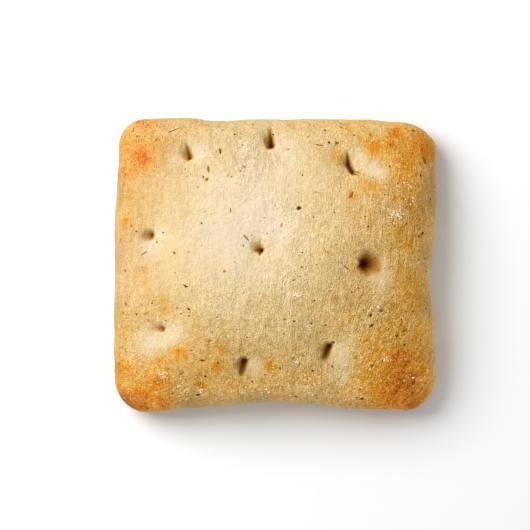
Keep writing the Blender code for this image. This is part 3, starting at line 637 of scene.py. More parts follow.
class NodeSketch:
    """Short ways to place and join the nodes of one material or group."""

    def __init__(self, tree: bpy.types.NodeTree) -> None:
        """Works on that node tree."""
        self.tree = tree

    def add(self, kind: str, **settings: object) -> bpy.types.Node:
        """Places a node, with some of its own settings.

        Args:
            kind: Blender's name for the kind of node.
            settings: The node's own settings.

        Returns:
            The node.
        """
        node = self.tree.nodes.new(kind)
        for name, value in settings.items():
            setattr(node, name, value)
        return node

    def feed(self, socket: bpy.types.NodeSocket, value: object) -> None:
        """Joins a socket to another one, or sets it to a value.

        Args:
            socket: The socket to feed.
            value: A socket to join it to, or a value to set it to.
        """
        if isinstance(value, bpy.types.NodeSocket):
            self.tree.links.new(value, socket)
        else:
            socket.default_value = value

    def math(self, operation: str, *values: object, clamp: bool = False) -> bpy.types.NodeSocket:
        """A sum of one, two or three numbers.

        Args:
            operation: Blender's name for the sum.
            values: Numbers or sockets.
            clamp: Whether the answer is held from 0 to 1.

        Returns:
            The answer's socket.
        """
        node = self.add("ShaderNodeMath", operation=operation, use_clamp=clamp)
        for socket, value in zip(node.inputs, values):
            self.feed(socket, value)
        return node.outputs[0]

    def attribute(self, name: str, output: str = "Fac") -> bpy.types.NodeSocket:
        """What the mesh stores under that name."""
        return self.add("ShaderNodeAttribute", attribute_name=name).outputs[output]

    def noise(
        self, where: object, scale: object, detail: float = 2.0, rough: float = 0.5
    ) -> bpy.types.NodeSocket:
        """Noise from 0 to 1.

        Args:
            where: The place that it is read at.
            scale: How many lumps fit in a metre.
            detail: How many finer layers lie over it.
            rough: How strong the finer layers are.

        Returns:
            The socket that gives it.
        """
        node = self.add("ShaderNodeTexNoise")
        self.feed(node.inputs["Vector"], where)
        for name, value in (("Scale", scale), ("Detail", detail), ("Roughness", rough)):
            self.feed(node.inputs[name], value)
        return node.outputs["Fac"]

    def mix(
        self, share: object, first: object, second: object, blend: str = "MIX"
    ) -> bpy.types.NodeSocket:
        """A mix of two colours.

        Args:
            share: The second colour's share.
            first: The first colour.
            second: The second colour.
            blend: Blender's name for the way they mix.

        Returns:
            The mixed colour's socket.
        """
        node = self.add("ShaderNodeMix", data_type="RGBA", blend_type=blend)
        self.feed(node.inputs[0], share)
        self.feed(node.inputs[6], first)
        self.feed(node.inputs[7], second)
        return node.outputs[2]

    def gamma(self, colour: object, power: float) -> bpy.types.NodeSocket:
        """Each channel of a colour to a power.

        Args:
            colour: The colour.
            power: The power.

        Returns:
            The raised colour's socket.
        """
        node = self.add("ShaderNodeGamma")
        self.feed(node.inputs["Color"], colour)
        node.inputs["Gamma"].default_value = power
        return node.outputs["Color"]

    def lighten(self, colour: object, amount: object, power: float) -> bpy.types.NodeSocket:
        """A colour made lighter by an amount, or darker where it is below 0, in even-looking steps.

        Args:
            colour: The colour to change.
            amount: The step, added to each channel.
            power: What the channels are raised to before the step, and brought back from after it.

        Returns:
            The changed colour.
        """
        raised = self.add("ShaderNodeVectorMath", operation="ADD")
        self.feed(raised.inputs[0], self.gamma(colour, power))
        self.feed(raised.inputs[1], amount)
        held = self.add("ShaderNodeVectorMath", operation="MAXIMUM")
        self.feed(held.inputs[0], raised.outputs["Vector"])
        return self.gamma(held.outputs["Vector"], 1 / power)

    def ramp(self, value: object, stops: Stops) -> bpy.types.NodeSocket:
        """A colour looked up along a row of stops.

        Args:
            value: Where to look, from 0 to 1.
            stops: Places along the row, each with its colour.

        Returns:
            The colour's socket.
        """
        node = self.add("ShaderNodeValToRGB")
        elements = node.color_ramp.elements
        while len(elements) < len(stops):
            elements.new(0.5)
        for element, (place, colour) in zip(elements, stops):
            element.position = place
            element.color = (*colour, 1)
        self.feed(node.inputs[0], value)
        return node.outputs["Color"]

    def bump(self, height: object, distance: float, before: object = None) -> bpy.types.NodeSocket:
        """A normal bent by a height, over an earlier one if it is given.

        Args:
            height: The height.
            distance: How far a height of 1 stands out.
            before: The earlier normal.

        Returns:
            The normal's socket.
        """
        node = self.add("ShaderNodeBump")
        node.inputs["Distance"].default_value = distance
        self.feed(node.inputs["Height"], height)
        if before is not None:
            self.feed(node.inputs["Normal"], before)
        return node.outputs["Normal"]


def new_group(
    name: str, inputs: tuple[str, ...], outputs: tuple[str, ...]
) -> tuple[NodeSketch, bpy.types.Node, bpy.types.Node]:
    """An empty node group that takes a vector and numbers, and gives numbers.

    Args:
        name: The group's name.
        inputs: The names of the numbers that it takes.
        outputs: The names of the numbers that it gives.

    Returns:
        A sketch of its nodes, and its input and output nodes.
    """
    group = bpy.data.node_groups.new(name, "ShaderNodeTree")
    group.interface.new_socket("Vector", in_out="INPUT", socket_type="NodeSocketVector")
    for side, sockets in (("INPUT", inputs), ("OUTPUT", outputs)):
        for socket in sockets:
            group.interface.new_socket(socket, in_out=side, socket_type="NodeSocketFloat")
    sketch = NodeSketch(group)
    return sketch, sketch.add("NodeGroupInput"), sketch.add("NodeGroupOutput")


def mottle_group() -> bpy.types.NodeTree:
    """Fine uneven speckle that the crust and what lies on it share.

    Returns:
        The group, made once.
    """
    found = bpy.data.node_groups.get("mottle")
    if found:
        return found
    sketch, given, made = new_group("mottle", ("Grain Scale", "Patch Scale"), ("Speckle", "Patches"))
    for scale, output, detail, rough in (
        ("Grain Scale", "Speckle", 1.0, 0.5),
        ("Patch Scale", "Patches", 3.0, 0.55),
    ):
        wave = sketch.noise(given.outputs["Vector"], given.outputs[scale], detail, rough)
        sketch.feed(made.inputs[output], sketch.math("SUBTRACT", wave, 0.5))
    return sketch.tree


def dots_group() -> bpy.types.NodeTree:
    """Scattered round dots, for grains of flour, dust and freckles.

    Returns:
        The group, made once.
    """
    found = bpy.data.node_groups.get("dots")
    if found:
        return found
    sketch, given, made = new_group("dots", ("Spacing Scale", "Amount", "Radius"), ("Dots",))
    cells = sketch.add("ShaderNodeTexVoronoi")
    sketch.feed(cells.inputs["Vector"], given.outputs["Vector"])
    sketch.feed(cells.inputs["Scale"], given.outputs["Spacing Scale"])
    drawn = sketch.add("ShaderNodeSeparateColor")
    sketch.feed(drawn.inputs[0], cells.outputs["Color"])
    kept = sketch.math("LESS_THAN", drawn.outputs[0], given.outputs["Amount"])
    radius = sketch.math("MULTIPLY", given.outputs["Radius"], sketch.math("ADD", drawn.outputs[1], 0.5))
    inside = sketch.math("DIVIDE", sketch.math("SUBTRACT", radius, cells.outputs["Distance"]), radius)
    solid = sketch.math("MULTIPLY", inside, 2.0, clamp=True)
    sketch.feed(made.inputs["Dots"], sketch.math("MULTIPLY", kept, solid))
    return sketch.tree


def place_mottle(sketch: NodeSketch, where: object, grain: float, patch: float) -> bpy.types.Node:
    """Places the mottle group with its own sizes. Both outputs run from about -0.5 to 0.5.

    Args:
        sketch: The sketch of the material's nodes.
        where: The place that it is read at.
        grain: The size of the fine speckle.
        patch: The size of the broad patches.

    Returns:
        The placed group.
    """
    node = sketch.add("ShaderNodeGroup", node_tree=mottle_group())
    sketch.feed(node.inputs["Vector"], where)
    node.inputs["Grain Scale"].default_value = 1 / grain
    node.inputs["Patch Scale"].default_value = 1 / patch
    return node


@dataclass(frozen=True)
class DotKind:
    """Dots of one kind on the crust. `share` turns what is painted into the part of places with a dot."""

    spacing: float
    radius: float
    share: float = 1.0
    cover: float = 1.0


def place_dots(sketch: NodeSketch, where: object, kind: DotKind, painted: object) -> bpy.types.NodeSocket:
    """Places the dots group for one kind of dots, as dense as something painted on the crust.

    Args:
        sketch: The sketch of the material's nodes.
        where: The place that they are read at.
        kind: The kind of dots.
        painted: What is painted, from 0 to 1.

    Returns:
        The socket that gives 1 in the middle of a dot and 0 outside it.
    """
    node = sketch.add("ShaderNodeGroup", node_tree=dots_group())
    sketch.feed(node.inputs["Vector"], where)
    node.inputs["Spacing Scale"].default_value = 1 / kind.spacing
    node.inputs["Radius"].default_value = kind.radius / kind.spacing
    amount = sketch.math("MULTIPLY", painted, kind.share) if kind.share < 1 else painted
    sketch.feed(node.inputs["Amount"], amount)
    return node.outputs["Dots"]


def new_material(name: str) -> tuple[bpy.types.Material, NodeSketch, bpy.types.Node]:
    """An empty material, a sketch of its nodes and its shader.

    Args:
        name: The material's name.

    Returns:
        The material, its sketch and its shader.
    """
    material = bpy.data.materials.new(name)
    material.use_nodes = True
    return material, NodeSketch(material.node_tree), material.node_tree.nodes["Principled BSDF"]


@dataclass(frozen=True)
class CrustFinish:
    """Baked crust: pale where it was stretched, browner with the painted `toast`, and brownest and darkest
    in the holes as painted shade.

    It has a fine grain that runs along the loaf, whose lighter flecks are partly painted glints, and dots
    of flour, herb dust and toasted freckles. A painted multiplier gives painted shade and painted light
    that make all of it brighter or duller, and makes it rosier or yellower, partly as painted light, from
    place to place.
    """

    bake_stops: Stops = (
        (0.0, (0.67, 0.545, 0.383)),
        (0.25, (0.657, 0.504, 0.284)),
        (0.45, (0.642, 0.459, 0.214)),
        (0.65, (0.626, 0.395, 0.13)),
        (0.8, (0.66, 0.332, 0.053)),
        (0.92, (0.65, 0.255, 0.016)),
        (1.0, (0.6, 0.19, 0.008)),
    )
    # Painted shade: colours that darken with the depth of a hole, from warm brown to near black, for the
    # shade inside it.
    hole_shade_stops: Stops = (
        (0.0, (0.62, 0.43, 0.19)),
        (0.12, (0.55, 0.345, 0.125)),
        (0.3, (0.43, 0.222, 0.036)),
        (0.6, (0.28, 0.094, 0.006)),
        (1.0, (0.12, 0.032, 0.003)),
    )
    hole_shade_rim: float = 0.2
    flour_colour: Colour = (0.94, 0.77, 0.48)
    dust_colour: Colour = (0.2, 0.09, 0.025)
    freckles: DotKind = DotKind(3.2 * MM, 1.1 * MM, share=0.35, cover=0.07)
    flour_dots: DotKind = DotKind(0.8 * MM, 0.28 * MM, share=0.6, cover=0.85)
    dust_dots: DotKind = DotKind(1.15 * MM, 0.27 * MM, cover=0.75)
    patch_browning: float = 0.17
    blotch_browning: float = 0.045
    streak_browning: float = -0.04
    # How strongly the grain lightens and darkens the colour. Its lighter flecks are partly painted glints.
    speckle_contrast: float = 0.345
    streak_contrast: float = 0.2
    blotch_contrast: float = 0.2
    wide_streak_contrast: float = 0.22
    even_step_power: float = 0.7
    film_start: float = 0.3
    film_speckle: float = 1.2
    film_cover: float = 0.7
    shine: float = 0.07
    subsurface: float = 0.15
    subsurface_radius: Colour = (1.0, 0.45, 0.2)
    subsurface_scale: float = 1.3 * MM
    roughness: float = 0.55
    blotch_roughness: float = 0.5
    powder_roughness: float = 0.25
    speckle_size: float = 0.48 * MM
    patch_size: float = 6.0 * MM
    mottle_size: float = 1.7 * MM
    streak_width: float = 0.75 * MM
    fine_streak_width: float = 0.38 * MM
    wide_streak_width: float = 1.8 * MM
    wide_ridges: float = 1.3
    flour_bump: float = 0.3
    blotch_depth: float = 0.25 * MM
    ridge_depth: float = 0.22 * MM
    grain_depth: float = 0.4 * MM

    def material(self) -> bpy.types.Material:
        """Builds the crust's nodes.

        Returns:
            The material.
        """
        material, sketch, shader = new_material("baked_crust")
        where = sketch.add("ShaderNodeTexCoord").outputs["Object"]
        along_grain = sketch.attribute("grain", "Vector")
        toast, flour, dust = (sketch.attribute(name) for name in ("toast", "flour", "dust"))
        mottle = place_mottle(sketch, where, self.speckle_size, self.patch_size)
        speckle, patches = mottle.outputs["Speckle"], mottle.outputs["Patches"]
        blotches = place_mottle(sketch, where, self.mottle_size, self.patch_size).outputs["Speckle"]
        streaking = place_mottle(sketch, along_grain, self.fine_streak_width, self.streak_width)
        fine_streaks, streaks = streaking.outputs["Speckle"], streaking.outputs["Patches"]
        broad = place_mottle(sketch, along_grain, self.streak_width, self.wide_streak_width)
        freckled = place_dots(sketch, where, self.freckles, toast)
        uneven = sketch.math("MULTIPLY_ADD", patches, self.patch_browning, toast)
        for wave, share in ((blotches, self.blotch_browning), (streaks, self.streak_browning)):
            uneven = sketch.math("MULTIPLY_ADD", wave, share, uneven)
        uneven = sketch.math("MULTIPLY_ADD", freckled, self.freckles.cover, uneven, clamp=True)
        colour = sketch.ramp(uneven, self.bake_stops)
        coarse = sketch.attribute("coarse")
        # Painted glints and grain: the speckle and streaks lighten and darken the colour in even steps. The
        # lighter flecks stand in for glints of light off the crust, and the rest is the grain's own colour.
        shade = sketch.math("MULTIPLY", speckle, self.speckle_contrast)
        for wave, share in (
            (fine_streaks, self.streak_contrast),
            (blotches, self.blotch_contrast),
            (broad.outputs["Patches"], self.wide_streak_contrast),
        ):
            shade = sketch.math("MULTIPLY_ADD", wave, share, shade)
        colour = sketch.lighten(colour, sketch.math("MULTIPLY", shade, coarse), self.even_step_power)
        floured = place_dots(sketch, where, self.flour_dots, flour)
        over_start = sketch.math("SUBTRACT", flour, self.film_start)
        film = sketch.math("MULTIPLY_ADD", speckle, self.film_speckle, over_start)
        film = sketch.math("MULTIPLY", film, self.film_cover, clamp=True)
        powder = sketch.math("MAXIMUM", sketch.math("MULTIPLY", floured, self.flour_dots.cover), film)
        colour = sketch.mix(powder, colour, (*self.flour_colour, 1))
        dusted = place_dots(sketch, where, self.dust_dots, dust)
        dusted = sketch.math("MULTIPLY", dusted, self.dust_dots.cover)
        colour = sketch.mix(dusted, colour, (*self.dust_colour, 1))
        # Painted shade in the holes: the colour darkens with depth, from warm brown to near black, where
        # shade falls inside them.
        hole = sketch.attribute("hole")
        inside = sketch.math("DIVIDE", hole, self.hole_shade_rim, clamp=True)
        colour = sketch.mix(inside, colour, sketch.ramp(hole, self.hole_shade_stops))
        # Painted shade and painted light: the painted multiplier darkens or brightens the crust and makes
        # it rosier or yellower.
        colour = sketch.mix(1.0, colour, sketch.attribute("painted_light_and_tint", "Vector"), "MULTIPLY")
        sketch.feed(shader.inputs["Base Color"], colour)
        rough = sketch.math("MULTIPLY_ADD", blotches, self.blotch_roughness, self.roughness)
        rough = sketch.math("MULTIPLY_ADD", powder, self.powder_roughness, rough, clamp=True)
        sketch.feed(shader.inputs["Roughness"], rough)
        shine = sketch.math("MULTIPLY_ADD", inside, -self.shine, self.shine)
        sketch.feed(shader.inputs["Specular IOR Level"], shine)
        shader.inputs["Subsurface Weight"].default_value = self.subsurface
        shader.inputs["Subsurface Radius"].default_value = self.subsurface_radius
        shader.inputs["Subsurface Scale"].default_value = self.subsurface_scale
        ridges = sketch.math("MULTIPLY_ADD", streaks, self.wide_ridges, fine_streaks)
        grains = sketch.math("MULTIPLY_ADD", floured, self.flour_bump, speckle)
        normal = sketch.bump(blotches, self.blotch_depth)
        for wave, depth in ((ridges, self.ridge_depth), (grains, self.grain_depth)):
            normal = sketch.bump(sketch.math("MULTIPLY", wave, coarse), depth, normal)
        sketch.feed(shader.inputs["Normal"], normal)
        return material


@dataclass(frozen=True)
class BitFinish:
    """Small dry bits, each with its own painted `tone` along a row of colours."""

    name: str
    stops: Stops
    roughness: float
    grain: float
    patch_share: int = 4
    tone_change: float = 0.35
    rough_change: float = 0.3
    shine: float = 0.01
    bump_depth: float = 0.08 * MM

    def material(self) -> bpy.types.Material:
        """Builds the bits' nodes.

        Returns:
            The material.
        """
        material, sketch, shader = new_material(self.name)
        where = sketch.add("ShaderNodeTexCoord").outputs["Object"]
        mottle = place_mottle(sketch, where, self.grain, self.patch_share * self.grain)
        speckle, patches = mottle.outputs["Speckle"], mottle.outputs["Patches"]
        tone = sketch.math("MULTIPLY_ADD", patches, self.tone_change, sketch.attribute("tone"), clamp=True)
        sketch.feed(shader.inputs["Base Color"], sketch.ramp(tone, self.stops))
        rough = sketch.math("MULTIPLY_ADD", speckle, self.rough_change, self.roughness)
        sketch.feed(shader.inputs["Roughness"], rough)
        shader.inputs["Specular IOR Level"].default_value = self.shine
        sketch.feed(shader.inputs["Normal"], sketch.bump(speckle, self.bump_depth))
        return material


HERB_FINISH = BitFinish(
    name="dried_herb",
    stops=(
        (0.0, (0.04, 0.012, 0.002)),
        (0.35, (0.175, 0.064, 0.005)),
        (0.7, (0.38, 0.19, 0.028)),
        (1.0, (0.6, 0.385, 0.125)),
    ),
    roughness=0.85,
    grain=0.25 * MM,
)
SPECK_FINISH = BitFinish(
    name="dark_speck",
    stops=(
        (0.0, (0.04, 0.011, 0.002)),
        (0.4, (0.16, 0.056, 0.006)),
        (0.7, (0.38, 0.18, 0.028)),
        (1.0, (0.58, 0.36, 0.11)),
    ),
    roughness=0.8,
    grain=0.2 * MM,
)
FLOUR_FINISH = BitFinish(
    name="flour_grain",
    stops=(
        (0.0, (0.62, 0.38, 0.13)),
        (0.55, (0.72, 0.51, 0.24)),
        (0.8, (0.82, 0.67, 0.42)),
        (1.0, (0.9, 0.8, 0.62)),
    ),
    roughness=0.9,
    grain=0.15 * MM,
)


@dataclass
class Crust:
    """The loaf's skin: a finely cut cube, shaped by the form and painted with how it baked and with painted
    shade and light.

    An edge is the height where something starts and how far it takes to reach its full strength. Waves
    are the strength and the length of slow changes.
    """

    form: LoafForm
    coarse_cells: tuple[int, int, int] = (70, 42, 7)
    skin_cuts: int = 3
    refined_within: Range = (5.0 * MM, 2.6 * MM)
    puff_height: float = 0.22 * MM
    puff_length: float = 2.6 * MM
    pucker_height: float = 0.045 * MM
    ripple_height: float = 0.09 * MM
    ripple_width: float = 0.75 * MM
    lean_deg: float = 28.0
    lean_starts: tuple[float, float] = (6.0 * MM, 8.0 * MM)
    lean_reaches: tuple[float, float] = (32.0 * MM, 26.0 * MM)
    grain_stretch: float = 5.0
    stretched_calm: float = 2.0
    least_grain: float = 0.25
    side_calm: float = 0.3
    pucker_ring: Range = (3.4 * MM, 1.6 * MM)
    pucker_folds: tuple[int, int] = (9, 17)
    fine_pucker_share: float = 0.6
    puff_start: Range = (0.3 * MM, 3.0 * MM)
    base_top: float = 3.0 * MM
    side_edge: Range = (13.0 * MM, 6.0 * MM)
    low_edge: Range = (8.5 * MM, 5.0 * MM)
    side_paler: float = 0.1
    base_browner: float = 0.1
    low_browner: float = 0.14
    toast_waves: Range = (0.08, 9.0 * MM)
    flour_waves: Range = (0.16, 5.0 * MM)
    dust_waves: Range = (0.06, 12.0 * MM)
    flour_of_spots: float = 0.5
    flour_all_over: float = 0.12
    flour_on_side: float = 0.1
    flour_on_base: float = 0.3
    dust_all_over: float = 0.02
    dust_at_front_right: float = 0.1
    dust_reach: float = 60.0 * MM
    most_dust: float = 0.3
    # The depth at which a hole's painted shade is darkest.
    full_shade_depth: float = 6.2 * MM
    seed_offset: float = 7.3

    def build(self) -> bpy.types.Object:
        """Models the crust and dresses it.

        Returns:
            The finished piece.
        """
        loaf = self._cut_cube()
        self._refine_dimples(loaf)
        self._shape(loaf)
        self._add_puffs(loaf)
        self._paint(loaf)
        deselect_all()
        loaf.select_set(True)
        bpy.context.view_layer.objects.active = loaf
        bpy.ops.object.shade_smooth()
        loaf.data.materials.append(CrustFinish().material())
        return loaf

    def _cut_cube(self) -> bpy.types.Object:
        """A cube of the loaf's size, cut into cells, finely on the top and the sides.

        Returns:
            The cube, in edit mode.
        """
        size = (self.form.width, self.form.depth, self.form.height)
        deselect_all()
        bpy.ops.mesh.primitive_cube_add(size=1, location=(0, 0, size[2] / 2), scale=size)
        bpy.ops.object.transform_apply(location=True, rotation=True, scale=True)
        loaf = bpy.context.object
        loaf.name = loaf.data.name = "crust"
        bpy.ops.object.mode_set(mode="EDIT")
        bpy.ops.mesh.select_mode(type="EDGE")
        for axis, cells in enumerate(self.coarse_cells):
            bpy.ops.mesh.select_all(action="DESELECT")
            work = bmesh.from_edit_mesh(loaf.data)
            for edge in work.edges:
                span = edge.verts[1].co[axis] - edge.verts[0].co[axis]
                edge.select_set(abs(span) > size[axis] / 2)
            bmesh.update_edit_mesh(loaf.data)
            bpy.ops.mesh.subdivide(number_cuts=cells - 1)
        bpy.ops.mesh.select_mode(type="FACE")
        self._subdivide_faces(loaf, lambda face: face.normal.z > -FACES_ALONG, self.skin_cuts)
        return loaf

    @staticmethod
    def _subdivide_faces(loaf: bpy.types.Object, wanted: object, cuts: int) -> None:
        """Cuts the faces for which `wanted` is true, in edit mode.

        Args:
            loaf: The piece, in edit mode.
            wanted: Says of a face whether it is cut.
            cuts: How many cuts each edge gets.
        """
        bpy.ops.mesh.select_all(action="DESELECT")
        work = bmesh.from_edit_mesh(loaf.data)
        for face in work.faces:
            face.select_set(wanted(face))
        bmesh.update_edit_mesh(loaf.data)
        bpy.ops.mesh.subdivide(number_cuts=cuts)

    def _refine_dimples(self, loaf: bpy.types.Object) -> None:
        """Halves the cells round each dimple, twice.

        Args:
            loaf: The piece, in edit mode.
        """
        half = Vector((self.form.width / 2, self.form.depth / 2))
        for reach in self.refined_within:

            def near(face: bmesh.types.BMFace) -> bool:
                """Whether a face of the top is carried to within `reach` of a dimple."""
                middle = face.calc_center_median()
                if face.normal.z < FACES_ALONG:
                    return False
                cube = np.array([[middle.x / half.x, middle.y / half.y, 1.0]])
                away = min(math.hypot(middle.x - d.x, middle.y - d.y) for d in DIMPLES)
                if away > LOOK_ROUND * reach:
                    return False
                points, _ = self.form.rounded_box(cube)
                self.form.draw_in_sides(points)
                return any(math.hypot(points[0, 0] - d.x, points[0, 1] - d.y) < reach for d in DIMPLES)

            self._subdivide_faces(loaf, near, 1)
        bpy.ops.object.mode_set(mode="OBJECT")

    def _shape(self, loaf: bpy.types.Object) -> None:
        """Carries the cut cube onto the loaf, over the middle of the solid's base.

        Args:
            loaf: The cut cube.
        """
        box = read_points(loaf.data)
        size = np.array([self.form.width, self.form.depth, self.form.height])
        cube = (box - [0, 0, size[2] / 2]) / (size / 2)
        points, up = self.form.carry(cube)
        low, high = (np.array(corner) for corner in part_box(NODE))
        middle = (points.min(0) + points.max(0)) / 2
        points[:, :2] += ((low + high) / 2 - middle)[:2]
        points[:, 2] -= points[:, 2].min() - low[2]
        ripples = self.ripple_height * perlin(self._along_grain(points), self.ripple_width)
        ripples *= self._coarseness(points[:, 0], points[:, 1])
        points[:, 2] += (self._puckers(points) + ripples) * up
        write_points(loaf.data, points)

    def _coarseness(self, x: np.ndarray, y: np.ndarray) -> np.ndarray:
        """How strong the grain of the skin is at each x, y."""
        rough = 1.0 + spread(COARSE, x, y) - spread(SMOOTH, x, y)
        return rough * np.clip(1 - self.stretched_calm * spread(STRETCHED, x, y), self.least_grain, 1)

    def _along_grain(self, points: np.ndarray) -> np.ndarray:
        """The points in the space of the skin's grain, which runs front to back and leans at one corner.

        Args:
            points: Points of the crust, one a row.

        Returns:
            The same points in the grain's space.
        """
        x, y, z = points.T
        to_right = smooth_step((x - self.lean_starts[0]) / self.lean_reaches[0])
        to_front = smooth_step((self.lean_starts[1] - y) / self.lean_reaches[1])
        lean = math.radians(self.lean_deg) * to_right * to_front
        return np.column_stack([x - np.tan(lean) * y, y / self.grain_stretch, z])

    def _puckers(self, points: np.ndarray) -> np.ndarray:
        """Fine creases that run into each hole, as two fans of folds, different at each hole.

        Args:
            points: Points of the crust, one a row.

        Returns:
            The height of the creases at each point.
        """
        height = np.zeros(len(points))
        few, many = self.pucker_folds
        for number, dimple in enumerate(DIMPLES):
            dx, dy = points[:, 0] - dimple.x, points[:, 1] - dimple.y
            away, turn = np.hypot(dx, dy), np.arctan2(dy, dx)
            folds = np.sin(turn * (few + number % 3) + number)
            folds += self.fine_pucker_share * np.sin(turn * many + 2 * number)
            ring = fade(away - self.pucker_ring[0], self.pucker_ring[1])
            height += self.pucker_height * folds * ring
        return height

    def _add_puffs(self, loaf: bpy.types.Object) -> None:
        """Small uneven puffs of the skin, by a Displace modifier that is applied.

        Args:
            loaf: The shaped crust.
        """
        above_foot = loaf.vertex_groups.new(name="above_foot")
        heights = read_points(loaf.data)[:, 2]
        weights = smooth_step((heights - self.puff_start[0]) / self.puff_start[1])
        for index in np.nonzero(weights > 0)[0]:
            above_foot.add([int(index)], float(weights[index]), "REPLACE")
        clouds = bpy.data.textures.new("puffs", "CLOUDS")
        clouds.noise_scale = self.puff_length
        clouds.noise_depth = 2
        push = loaf.modifiers.new("puffs", "DISPLACE")
        push.texture = clouds
        push.strength = self.puff_height
        push.mid_level = 0.5
        push.vertex_group = above_foot.name
        bpy.context.view_layer.objects.active = loaf
        bpy.ops.object.modifier_apply(modifier=push.name)
        loaf.vertex_groups.clear()

    def _paint(self, loaf: bpy.types.Object) -> None:
        """Paints how the crust baked, and painted shade and light, for its finish to read.

        It paints `toast` for how brown it is, `hole` for how deep in a hole, which the finish turns into
        painted shade,
        `flour` and `dust` for how much lies on it, a painted multiplier for painted shade, painted light
        and rosiness, and `coarse` and `grain` for its grain.

        Args:
            loaf: The finished mesh.
        """
        points = read_points(loaf.data)
        x, y, z = points.T
        on_base = smooth_step((self.base_top - z) / self.base_top)
        on_side = smooth_step((self.side_edge[0] - z) / self.side_edge[1]) * (1 - on_base)
        low_down = smooth_step((self.low_edge[0] - z) / self.low_edge[1])

        toast = EVENLY_BAKED + spread(BROWNED, x, y) + spread(TOASTED, x, y)
        toast -= spread(PALE, x, y) + spread(STRETCHED, x, y)
        toast = toast * (1 - self.side_paler * on_side)
        toast += self.base_browner * on_base
        toast += self.low_browner * low_down
        toast += self._waves(points, self.toast_waves, 1)
        paint(loaf.data, "toast", np.clip(toast, 0.0, 1.0))

        # Painted shade: how deep in a hole each point lies, which the finish darkens towards the bottom.
        hole = sum(self.form.groove_depth(dimple, x, y) for dimple in DIMPLES)
        paint(loaf.data, "hole", np.clip(hole / self.full_shade_depth, 0.0, 1.0))

        flour = self.flour_of_spots * (spread(FLOURED, x, y) + spread(STRETCHED, x, y))
        flour += self.flour_all_over + self.flour_on_side * on_side + self.flour_on_base * on_base
        flour += self._waves(points, self.flour_waves, 2)
        paint(loaf.data, "flour", np.clip(flour, 0.0, 1.0))

        front_right = smooth_step((x - y + self.dust_reach) / (2 * self.dust_reach))
        dust = self.dust_all_over + self.dust_at_front_right * front_right
        dust += self._waves(points, self.dust_waves, 3)
        paint(loaf.data, "dust", np.clip(dust, 0.0, self.most_dust))

        # Painted shade and painted light: the spots darken or brighten the skin, and make it rosier or
        # yellower, partly as painted light too.
        painted_brightness, rosy_and_lit = EVENLY_BRIGHT - spread(PAINTED_SHADE_AND_LIGHT, x, y), spread(ROSY_AND_PAINTED_LIGHT, x, y)
        paint_vector(loaf.data, "painted_light_and_tint", painted_brightness[:, None] * (1 + np.outer(rosy_and_lit, ROSE_TINT)))
        paint(loaf.data, "coarse", self._coarseness(x, y) - self.side_calm * on_side)
        paint_vector(loaf.data, "grain", self._along_grain(points))

    def _waves(self, points: np.ndarray, waves: Range, number: int) -> np.ndarray:
        """Slow changes of a strength and a length, with a `number` of their own."""
        strength, length = waves
        return strength * perlin(points, length, number * self.seed_offset)


@dataclass
class Placer:
    """Finds places on the crust for what lies on it."""

    surface: BVHTree
    form: LoafForm

    def from_above(self, x: float, y: float) -> tuple[Vector, Vector] | None:
        """The point of the crust under x, y and the way it faces."""
        return self._cast(Vector((x, y, 2 * self.form.height)), Vector((0, 0, -1)))

    def from_beside(self, round_deg: float, height: float) -> tuple[Vector, Vector] | None:
        """The point of the side seen from `round_deg` at that height, and the way it faces.

        Args:
            round_deg: The way round the loaf, from +X.
            height: The height above the floor.

        Returns:
            The point and the way it faces, or nothing where the loaf is missed.
        """
        turn = math.radians(round_deg)
        start = Vector((math.cos(turn), math.sin(turn), 0)) * self.form.width
        way = -start.normalized()
        start.z = height
        return self._cast(start, way)

    def _cast(self, start: Vector, way: Vector) -> tuple[Vector, Vector] | None:
        """Where a line from `start` meets the crust, and the way the crust faces there."""
        point, facing, _, _ = self.surface.ray_cast(start, way)
        return None if point is None else (point, facing)

    @staticmethod
    def stand(point: Vector, facing: Vector, heading_deg: float) -> Matrix:
        """Where something lies flat on the crust at that point, turned to its heading.

        Args:
            point: A point of the crust.
            facing: The way the crust faces there.
            heading_deg: The turn of the thing's length, from +X.

        Returns:
            The place as a matrix.
        """
        heading = math.radians(heading_deg)
        along = Vector((math.cos(heading), math.sin(heading), 0))
        if abs(facing.z) < FACES_ALONG:
            up = Vector((0, 0, 1))
            along = up * along.y + facing.cross(up) * along.x
        along = (along - facing * along.dot(facing)).normalized()
        turned = Matrix((along, facing.cross(along), facing)).transposed().to_4x4()
        return Matrix.Translation(point) @ turned


def join_pieces(name: str, bits: list[bpy.types.Object]) -> bpy.types.Object:
    """Joins bits into one piece of that name.

    Args:
        name: The piece's name.
        bits: The bits.

    Returns:
        The joined piece.
    """
    deselect_all()
    for bit in bits:
        bit.select_set(True)
    bpy.context.view_layer.objects.active = bits[0]
    bpy.ops.object.join()
    joined = bpy.context.object
    joined.name = joined.data.name = name
    return joined


def copy_of(pattern: bpy.types.Object, place: Matrix, tone: float) -> bpy.types.Object:
    """A copy of a modelled bit with its own mesh, put in its place, with its own painted tone.

    Args:
        pattern: The modelled bit.
        place: Where the copy goes, with its size.
        tone: Its tone, from 0 to 1.

    Returns:
        The copy.
    """
    mesh = pattern.data.copy()
    mesh.transform(place)
    paint(mesh, "tone", np.full(len(mesh.vertices), tone))
    made = bpy.data.objects.new(pattern.name, mesh)
    bpy.context.scene.collection.objects.link(made)
    return made


